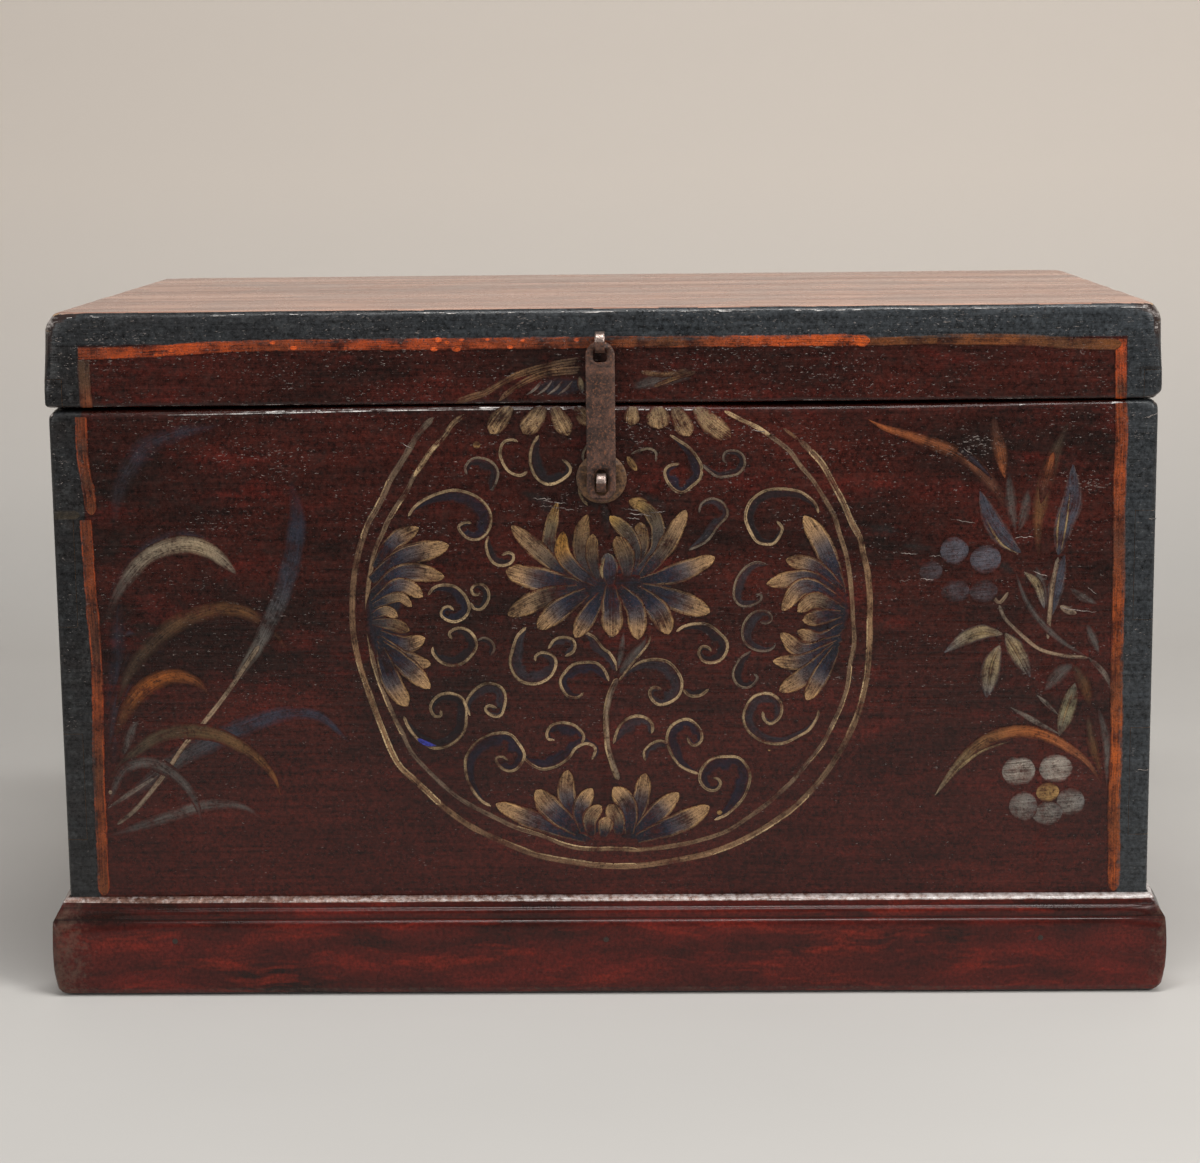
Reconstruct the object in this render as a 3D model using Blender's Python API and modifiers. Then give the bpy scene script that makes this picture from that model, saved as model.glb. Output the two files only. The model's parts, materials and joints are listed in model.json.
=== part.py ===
"""Painted wooden trunk: a finger-jointed box on a moulded plinth, with a hinged lid and an iron hasp.

Metres, +Z up. The front faces -Y, and the origin is on the floor under the middle of the bounding box.
"""

import math

import bmesh
import bpy
from mathutils import Matrix, Vector

# The box: four boards, finger jointed at the corners.
CARCASS_WIDTH = 0.850
CARCASS_DEPTH = 0.480
RIM_HEIGHT = 0.4665
BOARD_THICKNESS = 0.016
BODY_FINGERS = 5
CORNER_RADIUS = 0.004

# The floor of the box: planks under the boards, with the plinth round them.
BOTTOM_THICKNESS = 0.012
BOTTOM_LIFT = 0.028
BOTTOM_PLANKS = ("front", "middle", "rear")

# The plinth: a moulded skirting on three sides and a plain one behind.
PLINTH_HEIGHT = 0.079
PLINTH_OUT = 0.0134
PLINTH_CORNER_RADIUS = 0.009
PLINTH_BACK_THICKNESS = 0.008
BLOCK_SIDE = 0.040
BLOCK_FLOOR_GAP = 0.002

# The moulding from its top edge down: shares of the plinth's projection and of its height.
PLINTH_PROFILE = (
    (0.34, 0.982),
    (0.49, 0.967),
    (0.55, 0.949),
    (0.54, 0.929),
    (0.57, 0.906),
    (0.64, 0.893),
    (0.75, 0.881),
    (0.81, 0.858),
    (0.82, 0.833),
    (0.79, 0.810),
    (0.76, 0.792),
    (0.81, 0.775),
    (0.90, 0.762),
    (0.96, 0.739),
    (0.99, 0.696),
    (1.00, 0.608),
    (1.00, 0.228),
    (0.97, 0.152),
    (0.88, 0.082),
    (0.72, 0.033),
    (0.52, 0.008),
    (0.39, 0.0),
)

# The lid: four rails lapped at the corners, with two planks on top.
LID_OVERHANG = 0.0025
LID_RAIL_HEIGHT = 0.0586
LID_RAIL_THICKNESS = 0.014
LID_LAP_HEIGHT = 0.022
LID_TOP_THICKNESS = 0.014
LID_FRONT_PLANK_SHARE = 0.54
LID_EDGE_RADIUS = 0.006

# Bamboo pegs hold the planks and the plinth. On the lid they stand at shares of a plank's depth.
PEG_RADIUS = 0.0022
PEG_HOLD = 0.016
PLINTH_PEG_HOLD = 0.008
PLINTH_PEG_HEIGHT = 0.046
LID_PEG_PLACES = (0.22, 0.78)
FRONT_PEG_INSET = 0.085
SIDE_PEG_INSET = 0.090

# The back hinges: two rolled iron leaves on a pin.
HINGE_PLACE = 0.260
LEAF_WIDTH = 0.036
LEAF_THICKNESS = 0.002
BODY_LEAF_LENGTH = 0.054
LID_LEAF_LENGTH = 0.046
LEAF_END_RADIUS = 0.009
BARREL_RADIUS = 0.0045
KNUCKLE_GAP = 0.0005
ROLL_DEGREES = 285
HINGE_PIN_HEAD = 0.001
PIN_HEAD_LIP = 0.0012
PIN_HEAD_BEVEL = 0.0007
NAIL_PLACES = (0.42, 0.80)
NAIL_HEAD_RADIUS = 0.0034
NAIL_HEAD_HEIGHT = 0.0012
NAIL_RADIUS = 0.0013
NAIL_LENGTH = 0.012

# The hasp: a flat strap that hangs on a split eye in the lid and drops over a split eye in the body.
HASP_DROP_FROM_LID_TOP = 0.0275
STRAP_WIDTH = 0.0222
STRAP_THICKNESS = 0.002
STRAP_LENGTH = 0.1230
STRAP_BAR = 0.0055
STRAP_HOLE_WIDTH = 0.0106
STRAP_HOLE_HEIGHT = 0.0107
STRAP_HOLE_CORNER = 0.0028
SLOT_WIDTH = 0.0104
SLOT_HEIGHT = 0.0205
SLOT_MARGIN = 0.0045
EYE_WIDTH = 0.0074
EYE_THICKNESS = 0.0018
EYE_SLIT = 0.0006
EYE_CLINCH = 0.0085
LID_EYE_HOLE_RADIUS = 0.0064
LID_EYE_OFFSET = 0.0020
LOCK_EYE_HOLE_RADIUS = 0.0054
LOCK_PLATE_RADIUS = 0.0194
LOCK_PLATE_THICKNESS = 0.0015
LOCK_PLATE_RISE = 0.0025

# Fits: the gap between pieces that touch, and the seam under the closed lid.
FIT = 0.0003
LID_SEAM = 0.0006
OVERCUT = 0.002

# A round end stays this much short of a full half circle, so that its two arcs don't share a point.
ROUND_END_EASE = 0.00001

# Round pieces are drawn with this many sides.
PEG_SIDES = 12
NAIL_SIDES = 12
PIN_SIDES = 20
PLATE_SIDES = 48
ARC_STEP = math.radians(15)

# Sizes that follow from those above.
LID_EYE_RADIUS = LID_EYE_HOLE_RADIUS + EYE_THICKNESS
LOCK_EYE_RADIUS = LOCK_EYE_HOLE_RADIUS + EYE_THICKNESS
FRONT_REACH = max(LOCK_PLATE_THICKNESS + 2 * FIT + 2 * LOCK_EYE_RADIUS, PLINTH_OUT + FIT)
BACK_REACH = max(2 * BARREL_RADIUS + FIT, PLINTH_BACK_THICKNESS + FIT)
FRONT_Y = (FRONT_REACH - BACK_REACH - CARCASS_DEPTH) / 2
BACK_Y = FRONT_Y + CARCASS_DEPTH
MIDDLE_Y = (FRONT_Y + BACK_Y) / 2
BOTTOM_TOP = BOTTOM_LIFT + BOTTOM_THICKNESS
BOARD_FOOT = BOTTOM_TOP + FIT
BOARD_HEIGHT = RIM_HEIGHT - BOARD_FOOT
LID_FOOT = RIM_HEIGHT + LID_SEAM
LID_RAIL_TOP = LID_FOOT + LID_RAIL_HEIGHT
LID_PLANK_FOOT = LID_RAIL_TOP + FIT
LID_TOP = LID_PLANK_FOOT + LID_TOP_THICKNESS
LID_WIDTH = CARCASS_WIDTH + 2 * LID_OVERHANG
LID_AXIS = Vector((0.0, BACK_Y + FIT + BARREL_RADIUS, RIM_HEIGHT + LID_SEAM / 2))
LID_EYE_Y = FRONT_Y - FIT - LID_EYE_RADIUS
HASP_AXIS = Vector((0.0, LID_EYE_Y + LID_EYE_OFFSET, LID_TOP - HASP_DROP_FROM_LID_TOP))
SLOT_DROP = STRAP_LENGTH - STRAP_BAR / 2 - SLOT_MARGIN - SLOT_HEIGHT / 2
LOCK_HEIGHT = HASP_AXIS.z - SLOT_DROP

# A flat outline is drawn as (across, up); these turn it to face the front or the side.
FACING_FRONT = Matrix.Rotation(math.pi / 2, 4, "X")
FACING_SIDE = Matrix.Rotation(math.pi / 2, 4, "Z") @ FACING_FRONT


def clear_scene():
    for old in list(bpy.data.objects):
        bpy.data.objects.remove(old)


def new_collection(name):
    made = bpy.data.collections.new(name)
    bpy.context.scene.collection.children.link(made)
    return made


clear_scene()
PARTS = new_collection("painted_trunk")
CUTTERS = new_collection("painted_trunk_cutters")
CUTTERS.hide_render = True


def finish(name, colour, roughness, metallic=0.0):
    """A plain material of one colour, given as linear red, green and blue."""
    made = bpy.data.materials.new(name)
    made.use_nodes = True
    shader = made.node_tree.nodes["Principled BSDF"]
    shader.inputs["Base Color"].default_value = (*colour, 1.0)
    shader.inputs["Roughness"].default_value = roughness
    shader.inputs["Metallic"].default_value = metallic
    return made


def red_brown_lacquer():
    return finish("red_brown_lacquer", (0.045, 0.011, 0.009), 0.38)


def plinth_lacquer():
    return finish("plinth_lacquer", (0.065, 0.014, 0.011), 0.42)


def worn_top_lacquer():
    return finish("worn_top_lacquer", (0.150, 0.060, 0.035), 0.45)


def bare_softwood():
    return finish("bare_softwood", (0.260, 0.150, 0.075), 0.75)


def dark_bamboo():
    return finish("dark_bamboo", (0.070, 0.035, 0.018), 0.70)


def rusty_iron():
    return finish("rusty_iron", (0.075, 0.046, 0.036), 0.62, 0.75)


LACQUER = red_brown_lacquer()
PLINTH_PAINT = plinth_lacquer()
TOP_PAINT = worn_top_lacquer()
SOFTWOOD = bare_softwood()
BAMBOO = dark_bamboo()
IRON = rusty_iron()


def axis_empty(name, where, parent=None):
    """An empty on a joint axis, which the moving pieces hang from."""
    made = bpy.data.objects.new(name, None)
    PARTS.objects.link(made)
    made.parent = parent
    made.location = where - (parent.location if parent else Vector())
    return made


LID_PIVOT = axis_empty("lid_axis", LID_AXIS)
HASP_PIVOT = axis_empty("hasp_axis", HASP_AXIS, LID_PIVOT)
PIVOT_PLACES = {None: Vector(), LID_PIVOT: LID_AXIS, HASP_PIVOT: HASP_AXIS}


def add_piece(name, mesh, where, material, pivot=None):
    """A named piece at a place in the room, hung from its joint axis if it moves."""
    made = bpy.data.objects.new(name, mesh)
    PARTS.objects.link(made)
    made.parent = pivot
    made.location = Vector(where) - PIVOT_PLACES[pivot]
    mesh.materials.append(material)
    return made


def add_cutter(name, mesh, where):
    made = bpy.data.objects.new(name, mesh)
    CUTTERS.objects.link(made)
    made.location = where
    made.hide_render = True
    made.display_type = "WIRE"
    return made


def combine(piece, other, operation="DIFFERENCE"):
    boolean = piece.modifiers.new(other.name, "BOOLEAN")
    boolean.operation = operation
    boolean.solver = "EXACT"
    boolean.object = other


def smooth(piece):
    for face in piece.data.polygons:
        face.use_smooth = True


def mesh_from(name, form):
    mesh = bpy.data.meshes.new(name)
    form.to_mesh(mesh)
    form.free()
    return mesh


def box_form(size):
    form = bmesh.new()
    bmesh.ops.create_cube(form, size=1.0)
    bmesh.ops.scale(form, vec=size, verts=form.verts)
    return form


def box_mesh(name, size):
    return mesh_from(name, box_form(size))


def rod_mesh(name, radius, length, sides, turn=Matrix()):
    """A straight rod along Z, turned to its direction."""
    form = bmesh.new()
    bmesh.ops.create_cone(
        form, cap_ends=True, segments=sides, radius1=radius, radius2=radius, depth=length
    )
    bmesh.ops.transform(form, matrix=turn, verts=form.verts)
    return mesh_from(name, form)


def slab_mesh(name, loop, thickness, turn):
    """A flat outline given a thickness and turned to face its way."""
    form = bmesh.new()
    corners = [form.verts.new((across, up, -thickness / 2)) for across, up in loop]
    face = form.faces.new(corners)
    grown = bmesh.ops.extrude_face_region(form, geom=[face])["geom"]
    raised = [item for item in grown if isinstance(item, bmesh.types.BMVert)]
    bmesh.ops.translate(form, vec=(0.0, 0.0, thickness), verts=raised)
    bmesh.ops.recalc_face_normals(form, faces=form.faces)
    bmesh.ops.transform(form, matrix=turn, verts=form.verts)
    return mesh_from(name, form)


def pierced_mesh(name, loops, thickness, turn):
    """A flat outline with holes, which are the loops after the first, made as a slab is."""
    curve = bpy.data.curves.new(name, "CURVE")
    curve.dimensions = "2D"
    curve.fill_mode = "BOTH"
    curve.extrude = thickness / 2
    for loop in loops:
        spline = curve.splines.new("POLY")
        spline.points.add(len(loop) - 1)
        spline.use_cyclic_u = True
        for point, (across, up) in zip(spline.points, loop):
            point.co = (across, up, 0.0, 1.0)
    holder = bpy.data.objects.new(name, curve)
    CUTTERS.objects.link(holder)
    graph = bpy.context.evaluated_depsgraph_get()
    mesh = bpy.data.meshes.new_from_object(holder.evaluated_get(graph))
    bpy.data.objects.remove(holder)
    bpy.data.curves.remove(curve)
    form = bmesh.new()
    form.from_mesh(mesh)
    bmesh.ops.remove_doubles(form, verts=form.verts, dist=1e-6)
    bmesh.ops.recalc_face_normals(form, faces=form.faces)
    form.to_mesh(mesh)
    form.free()
    mesh.materials.clear()
    mesh.transform(turn)
    return mesh


def round_edges(mesh, chosen, radius, segments=3):
    """Rounds the edges whose two ends both pass the test."""
    form = bmesh.new()
    form.from_mesh(mesh)
    edges = [edge for edge in form.edges if chosen(edge.verts[0].co, edge.verts[1].co)]
    bmesh.ops.bevel(
        form, geom=edges, offset=radius, segments=segments, profile=0.5, affect="EDGES"
    )
    form.to_mesh(mesh)
    form.free()


def arc(centre, radius, start, end):
    """Points along a circle from one angle to another, in even steps."""
    steps = max(1, math.ceil(abs(end - start) / ARC_STEP - 1e-6))
    angles = [start + (end - start) * step / steps for step in range(steps + 1)]
    middle = Vector(centre)
    return [middle + radius * Vector((math.cos(angle), math.sin(angle))) for angle in angles]


def rounded_rectangle(width, height, radius, middle=(0.0, 0.0)):
    """The outline of a rectangle with round corners, counter-clockwise from its lower right corner."""
    points = []
    for turn, (right, top) in enumerate(((1, -1), (1, 1), (-1, 1), (-1, -1))):
        corner = (
            middle[0] + right * (width / 2 - radius),
            middle[1] + top * (height / 2 - radius),
        )
        start = (turn - 1) * math.pi / 2
        points += arc(corner, radius, start, start + math.pi / 2)
    return points


def bent_strip(path, thickness):
    """The outline of a strip that follows a path."""
    steps = [(after - before).normalized() for before, after in zip(path, path[1:])]
    left = []
    right = []
    for here, before, after in zip(path, steps[:1] + steps, steps + steps[-1:]):
        side = Vector((-before.y - after.y, before.x + after.x)).normalized()
        reach = thickness / 2 / side.dot(Vector((-before.y, before.x)))
        left.append(here + side * reach)
        right.append(here - side * reach)
    return left + right[::-1]


def fingered_outline(length, bounds, owned, notch):
    """A board seen flat: bounds are the heights where the corner passes from one board to the other."""
    levels = [bounds[0]]
    for bound, upper_owned in zip(bounds[1:-1], owned[1:]):
        levels.append(bound + (FIT / 2 if upper_owned else -FIT / 2))
    levels.append(bounds[-1])
    end = []
    for low, high, keeps in zip(levels, levels[1:], owned):
        reach = length / 2 if keeps else length / 2 - notch
        end += [(reach, low), (reach, high)]
    return end + [(-across, up) for across, up in reversed(end)]


def near(value, target):
    return abs(value - target) < 1e-6


def facing_board(length, bounds, owned, thickness, outward):
    """A front or back board, with its outer corners eased. Outward is -1 for the front, 1 for the back."""
    loop = fingered_outline(length, bounds, owned, thickness + FIT)
    mesh = slab_mesh("facing_board", loop, thickness, FACING_FRONT)

    def outer_corner(*ends):
        return all(near(abs(end.x), length / 2) and near(end.y, outward * thickness / 2) for end in ends)

    round_edges(mesh, outer_corner, CORNER_RADIUS)
    return mesh


def side_board(length, bounds, owned, thickness, outward):
    """A left or right board, with its outer corners eased. Outward is -1 for the left, 1 for the right."""
    loop = fingered_outline(length, bounds, owned, thickness + FIT)
    mesh = slab_mesh("side_board", loop, thickness, FACING_SIDE)

    def outer_corner(*ends):
        return all(near(abs(end.y), length / 2) and near(end.x, outward * thickness / 2) for end in ends)

    round_edges(mesh, outer_corner, CORNER_RADIUS)
    return mesh


def carcass():
    """The four boards of the box. Front and back keep the odd fingers, the sides the even ones."""
    pitch = BOARD_HEIGHT / BODY_FINGERS
    bounds = [BOARD_FOOT + pitch * step for step in range(BODY_FINGERS)] + [RIM_HEIGHT]
    facing_owned = [finger % 2 == 0 for finger in range(BODY_FINGERS)]
    side_owned = [not keeps for keeps in facing_owned]
    boards = {}
    for name, outward, face_y in (("front_board", -1, FRONT_Y), ("back_board", 1, BACK_Y)):
        mesh = facing_board(CARCASS_WIDTH, bounds, facing_owned, BOARD_THICKNESS, outward)
        place = (0.0, face_y - outward * BOARD_THICKNESS / 2, 0.0)
        boards[name] = add_piece(name, mesh, place, LACQUER)
    for name, outward in (("left_side_board", -1), ("right_side_board", 1)):
        mesh = side_board(CARCASS_DEPTH, bounds, side_owned, BOARD_THICKNESS, outward)
        place = (outward * (CARCASS_WIDTH - BOARD_THICKNESS) / 2, MIDDLE_Y, 0.0)
        boards[name] = add_piece(name, mesh, place, LACQUER)
    return boards


def bottom_planks():
    """The planks that the boards stand on."""
    count = len(BOTTOM_PLANKS)
    plank_depth = (CARCASS_DEPTH - FIT * (count - 1)) / count
    size = (CARCASS_WIDTH, plank_depth, BOTTOM_THICKNESS)
    for step, place in enumerate(BOTTOM_PLANKS):
        middle = FRONT_Y + plank_depth / 2 + step * (plank_depth + FIT)
        where = (0.0, middle, BOTTOM_LIFT + BOTTOM_THICKNESS / 2)
        add_piece("bottom_plank_" + place, box_mesh("bottom_plank", size), where, SOFTWOOD)


def plinth_outline():
    """The moulding's section: outward from the box, and up."""
    face = [(PLINTH_OUT * out, PLINTH_HEIGHT * up) for out, up in PLINTH_PROFILE]
    return [(FIT, 0.0), (FIT, PLINTH_HEIGHT)] + face


def plinth_corner_block():
    """A block with round corners, which keeps the mitred ends of the moulding round."""
    width = CARCASS_WIDTH + 2 * PLINTH_OUT
    front = FRONT_Y - PLINTH_OUT
    depth = 2 * (MIDDLE_Y - front)
    loop = rounded_rectangle(width, depth, PLINTH_CORNER_RADIUS)
    mesh = slab_mesh("plinth_rounding", loop, 2 * PLINTH_HEIGHT, Matrix())
    return add_cutter("plinth_rounding", mesh, (0.0, MIDDLE_Y, PLINTH_HEIGHT / 2))


def plinth_front(rounding):
    """The front moulding, mitred at both ends."""
    mesh = slab_mesh("plinth_front", plinth_outline(), CARCASS_WIDTH, FACING_SIDE)
    for vertex in mesh.vertices:
        out = vertex.co.y
        vertex.co.x += math.copysign(out - FIT / 2, vertex.co.x)
        vertex.co.y = -out
    mesh.flip_normals()
    piece = add_piece("plinth_front", mesh, (0.0, FRONT_Y, 0.0), PLINTH_PAINT)
    combine(piece, rounding, "INTERSECT")
    return piece


def plinth_side(name, outward, rounding):
    """A side moulding, mitred in front and square behind, where it covers the end of the back plinth."""
    back_end = BACK_Y + FIT + PLINTH_BACK_THICKNESS
    mesh = slab_mesh(name, plinth_outline(), CARCASS_DEPTH, FACING_FRONT)
    for vertex in mesh.vertices:
        out = vertex.co.x
        at_front = vertex.co.y < 0
        vertex.co.y = FRONT_Y - out + FIT / 2 if at_front else back_end
        vertex.co.x = outward * out
    if outward < 0:
        mesh.flip_normals()
    piece = add_piece(name, mesh, (outward * CARCASS_WIDTH / 2, 0.0, 0.0), PLINTH_PAINT)
    combine(piece, rounding, "INTERSECT")
    return piece


def plinth_back():
    """The plain plinth against the wall."""
    size = (CARCASS_WIDTH, PLINTH_BACK_THICKNESS, PLINTH_HEIGHT)
    place = (0.0, BACK_Y + FIT + PLINTH_BACK_THICKNESS / 2, PLINTH_HEIGHT / 2)
    return add_piece("plinth_back", box_mesh("plinth_back", size), place, PLINTH_PAINT)


def corner_blocks():
    """Glue blocks in the corners of the plinth, under the bottom planks."""
    height = BOTTOM_LIFT - FIT - BLOCK_FLOOR_GAP
    inset = BLOCK_SIDE / 2
    for end, y in (("front", FRONT_Y + inset), ("back", BACK_Y - inset)):
        for hand, side in (("left", -1), ("right", 1)):
            mesh = box_mesh("corner_block", (BLOCK_SIDE, BLOCK_SIDE, height))
            place = (side * (CARCASS_WIDTH / 2 - inset), y, BLOCK_FLOOR_GAP + height / 2)
            add_piece("corner_block_" + end + "_" + hand, mesh, place, SOFTWOOD)


def lid_rails():
    """The four rails of the lid. The side rails keep the lower part of each corner."""
    bounds = [LID_FOOT, LID_FOOT + LID_LAP_HEIGHT, LID_RAIL_TOP]
    rails = {}
    for name, outward, face_y in (("lid_front_rail", -1, FRONT_Y), ("lid_back_rail", 1, BACK_Y)):
        mesh = facing_board(LID_WIDTH, bounds, [False, True], LID_RAIL_THICKNESS, outward)
        place = (0.0, face_y - outward * LID_RAIL_THICKNESS / 2, 0.0)
        rails[name] = add_piece(name, mesh, place, LACQUER, LID_PIVOT)
    for name, outward in (("lid_left_rail", -1), ("lid_right_rail", 1)):
        mesh = side_board(CARCASS_DEPTH, bounds, [True, False], LID_RAIL_THICKNESS, outward)
        place = (outward * (LID_WIDTH - LID_RAIL_THICKNESS) / 2, MIDDLE_Y, 0.0)
        rails[name] = add_piece(name, mesh, place, LACQUER, LID_PIVOT)
    return rails


def lid_plank(name, depth, middle_y, outward):
    """A top plank, rounded along its ends and its outer long edge. Outward is -1 in front, 1 behind."""
    mesh = box_mesh(name, (LID_WIDTH, depth, LID_TOP_THICKNESS))
    top = LID_TOP_THICKNESS / 2
    end = LID_WIDTH / 2
    outer = outward * depth / 2

    def shown(a, b):
        at_top = near(a.z, top) and near(b.z, top)
        at_end = near(a.x, b.x) and near(abs(a.x), end)
        at_outer = near(a.y, outer) and near(b.y, outer)
        return (at_top and (at_end or at_outer)) or (at_end and at_outer)

    round_edges(mesh, shown, LID_EDGE_RADIUS)
    return add_piece(name, mesh, (0.0, middle_y, LID_PLANK_FOOT + top), TOP_PAINT, LID_PIVOT)


def lid_top():
    """The two planks on top, each pegged down into both side rails."""
    usable = CARCASS_DEPTH - FIT
    front_depth = usable * LID_FRONT_PLANK_SHARE
    rear_depth = usable - front_depth
    front = lid_plank("lid_plank_front", front_depth, FRONT_Y + front_depth / 2, -1)
    rear = lid_plank("lid_plank_rear", rear_depth, BACK_Y - rear_depth / 2, 1)
    return ((front, FRONT_Y, front_depth), (rear, BACK_Y - rear_depth, rear_depth))


def add_peg(name, place, direction, length, through, pivot=None):
    """A peg sunk just under the face at place, driven along direction through the pieces named."""
    turn = direction.to_track_quat("Z", "Y").to_matrix().to_4x4()
    middle = Vector(place) + direction * (FIT + length / 2)
    mesh = rod_mesh("peg", PEG_RADIUS, length, PEG_SIDES, turn)
    peg = add_piece(name, mesh, middle, BAMBOO, pivot)
    smooth(peg)
    hole_length = length + FIT + OVERCUT
    hole_middle = Vector(place) + direction * (hole_length / 2 - OVERCUT + FIT)
    hole_mesh = rod_mesh("peg_hole", PEG_RADIUS + FIT, hole_length, PEG_SIDES, turn)
    hole = add_cutter(name + "_hole", hole_mesh, hole_middle)
    for piece in through:
        combine(piece, hole)


def lid_pegs(planks, rails):
    down = Vector((0.0, 0.0, -1.0))
    length = LID_TOP_THICKNESS + PEG_HOLD
    number = 0
    for plank, start_y, depth in planks:
        for hand, side in (("left", -1), ("right", 1)):
            for share in LID_PEG_PLACES:
                number += 1
                x = side * (LID_WIDTH - LID_RAIL_THICKNESS) / 2
                place = (x, start_y + depth * share, LID_TOP)
                through = (plank, rails["lid_" + hand + "_rail"])
                add_peg("lid_peg_" + str(number), place, down, length, through, LID_PIVOT)


def plinth_pegs(mouldings, boards):
    length = PLINTH_OUT + PLINTH_PEG_HOLD
    front_end = CARCASS_WIDTH / 2 - FRONT_PEG_INSET
    side_end = CARCASS_DEPTH / 2 - SIDE_PEG_INSET
    side_places = (-side_end, side_end)
    places = {"front": (-front_end, 0.0, front_end), "left": side_places, "right": side_places}
    number = 0
    for side, along_side in places.items():
        for along in along_side:
            number += 1
            if side == "front":
                place = (along, FRONT_Y - PLINTH_OUT, PLINTH_PEG_HEIGHT)
                direction = Vector((0.0, 1.0, 0.0))
                board = boards["front_board"]
            else:
                outward = -1 if side == "left" else 1
                face_x = outward * (CARCASS_WIDTH / 2 + PLINTH_OUT)
                place = (face_x, MIDDLE_Y + along, PLINTH_PEG_HEIGHT)
                direction = Vector((-outward, 0.0, 0.0))
                board = boards[side + "_side_board"]
            add_peg("plinth_peg_" + str(number), place, direction, length, (mouldings[side], board))


def leaf_shape(length, reach, keeps_outer_knuckles):
    """The leaf seen from behind, with its free end down and its barrel at the top."""
    half = LEAF_WIDTH / 2
    knuckle = (LEAF_WIDTH - 2 * KNUCKLE_GAP) / 3
    clear = -(BARREL_RADIUS + KNUCKLE_GAP)
    end = -length
    radius = LEAF_END_RADIUS
    lower = arc((-half + radius, end + radius), radius, -math.pi, -math.pi / 2)
    lower += arc((half - radius, end + radius), radius, -math.pi / 2, 0.0)
    if keeps_outer_knuckles:
        inner = half - knuckle
        right = [(half, reach), (inner, reach), (inner, clear)]
    else:
        inner = knuckle / 2
        right = [(half, clear), (inner, clear), (inner, reach)]
    left = [(-across, up) for across, up in reversed(right)]
    return [tuple(point) for point in lower] + right + left


def hinge_leaf(name, x, length, upward, pivot):
    """An iron leaf rolled round the pin. Upward is 1 for the lid's leaf, -1 for the body's."""
    roll = BARREL_RADIUS - LEAF_THICKNESS / 2
    path = [Vector((-roll, -length))]
    path += arc((0.0, 0.0), roll, math.pi, math.pi - math.radians(ROLL_DEGREES))
    strip = slab_mesh(name, bent_strip(path, LEAF_THICKNESS), LEAF_WIDTH + 2 * OVERCUT, FACING_SIDE)
    shape = leaf_shape(length - FIT, BARREL_RADIUS + OVERCUT, upward < 0)
    outline = slab_mesh(name + "_shape", shape, 4 * BARREL_RADIUS, FACING_FRONT)
    if upward > 0:
        for mesh in (strip, outline):
            mesh.transform(Matrix.Scale(-1, 4, (0.0, 0.0, 1.0)))
            mesh.flip_normals()
    place = Vector((x, LID_AXIS.y, LID_AXIS.z))
    leaf = add_piece(name, strip, place, IRON, pivot)
    combine(leaf, add_cutter(name + "_shape", outline, place), "INTERSECT")
    return leaf


def turned_mesh(name, profile):
    """A profile of (radius, height) from the top down, for a Screw modifier to turn round Z."""
    mesh = bpy.data.meshes.new(name)
    points = [(radius, 0.0, height) for radius, height in profile]
    mesh.from_pydata(points, [(i, i + 1) for i in range(len(points) - 1)], [])
    return mesh


def turn_round(piece, sides):
    screw = piece.modifiers.new("turned", "SCREW")
    screw.axis = "Z"
    screw.steps = sides
    screw.render_steps = sides
    screw.use_merge_vertices = True
    screw.merge_threshold = 1e-5
    screw.use_smooth_shade = True


def hinge_nail(name, place, through, pivot):
    """A forged nail with a low round head, driven forward into the back of the trunk."""
    profile = (
        (0.0, NAIL_HEAD_HEIGHT),
        (NAIL_HEAD_RADIUS * 0.55, NAIL_HEAD_HEIGHT * 0.85),
        (NAIL_HEAD_RADIUS * 0.88, NAIL_HEAD_HEIGHT * 0.45),
        (NAIL_HEAD_RADIUS, 0.0),
        (NAIL_RADIUS, 0.0),
        (NAIL_RADIUS, -NAIL_LENGTH * 0.8),
        (0.0, -NAIL_LENGTH),
    )
    nail = add_piece(name, turned_mesh("nail", profile), place, IRON, pivot)
    nail.rotation_euler = (-math.pi / 2, 0.0, 0.0)
    turn_round(nail, NAIL_SIDES)
    hole_length = NAIL_LENGTH + OVERCUT
    hole_mesh = rod_mesh("nail_hole", NAIL_RADIUS + FIT, hole_length, NAIL_SIDES, FACING_FRONT)
    hole_middle = Vector(place) + Vector((0.0, (OVERCUT - NAIL_LENGTH) / 2 - FIT, 0.0))
    hole = add_cutter(name + "_hole", hole_mesh, hole_middle)
    for piece in through:
        combine(piece, hole)


def hinge_pin(name, x):
    """The pin through the knuckles, with both ends hammered over."""
    radius = BARREL_RADIUS - LEAF_THICKNESS - FIT
    head = radius + PIN_HEAD_LIP
    end = head - PIN_HEAD_BEVEL
    inner = LEAF_WIDTH / 2 + FIT
    outer = inner + HINGE_PIN_HEAD
    profile = (
        (0.0, outer),
        (end, outer),
        (head, inner),
        (radius, inner),
        (radius, -inner),
        (head, -inner),
        (end, -outer),
        (0.0, -outer),
    )
    pin = add_piece(name, turned_mesh("hinge_pin", profile), (x, LID_AXIS.y, LID_AXIS.z), IRON)
    pin.rotation_euler = (0.0, math.pi / 2, 0.0)
    turn_round(pin, PIN_SIDES)


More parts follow.
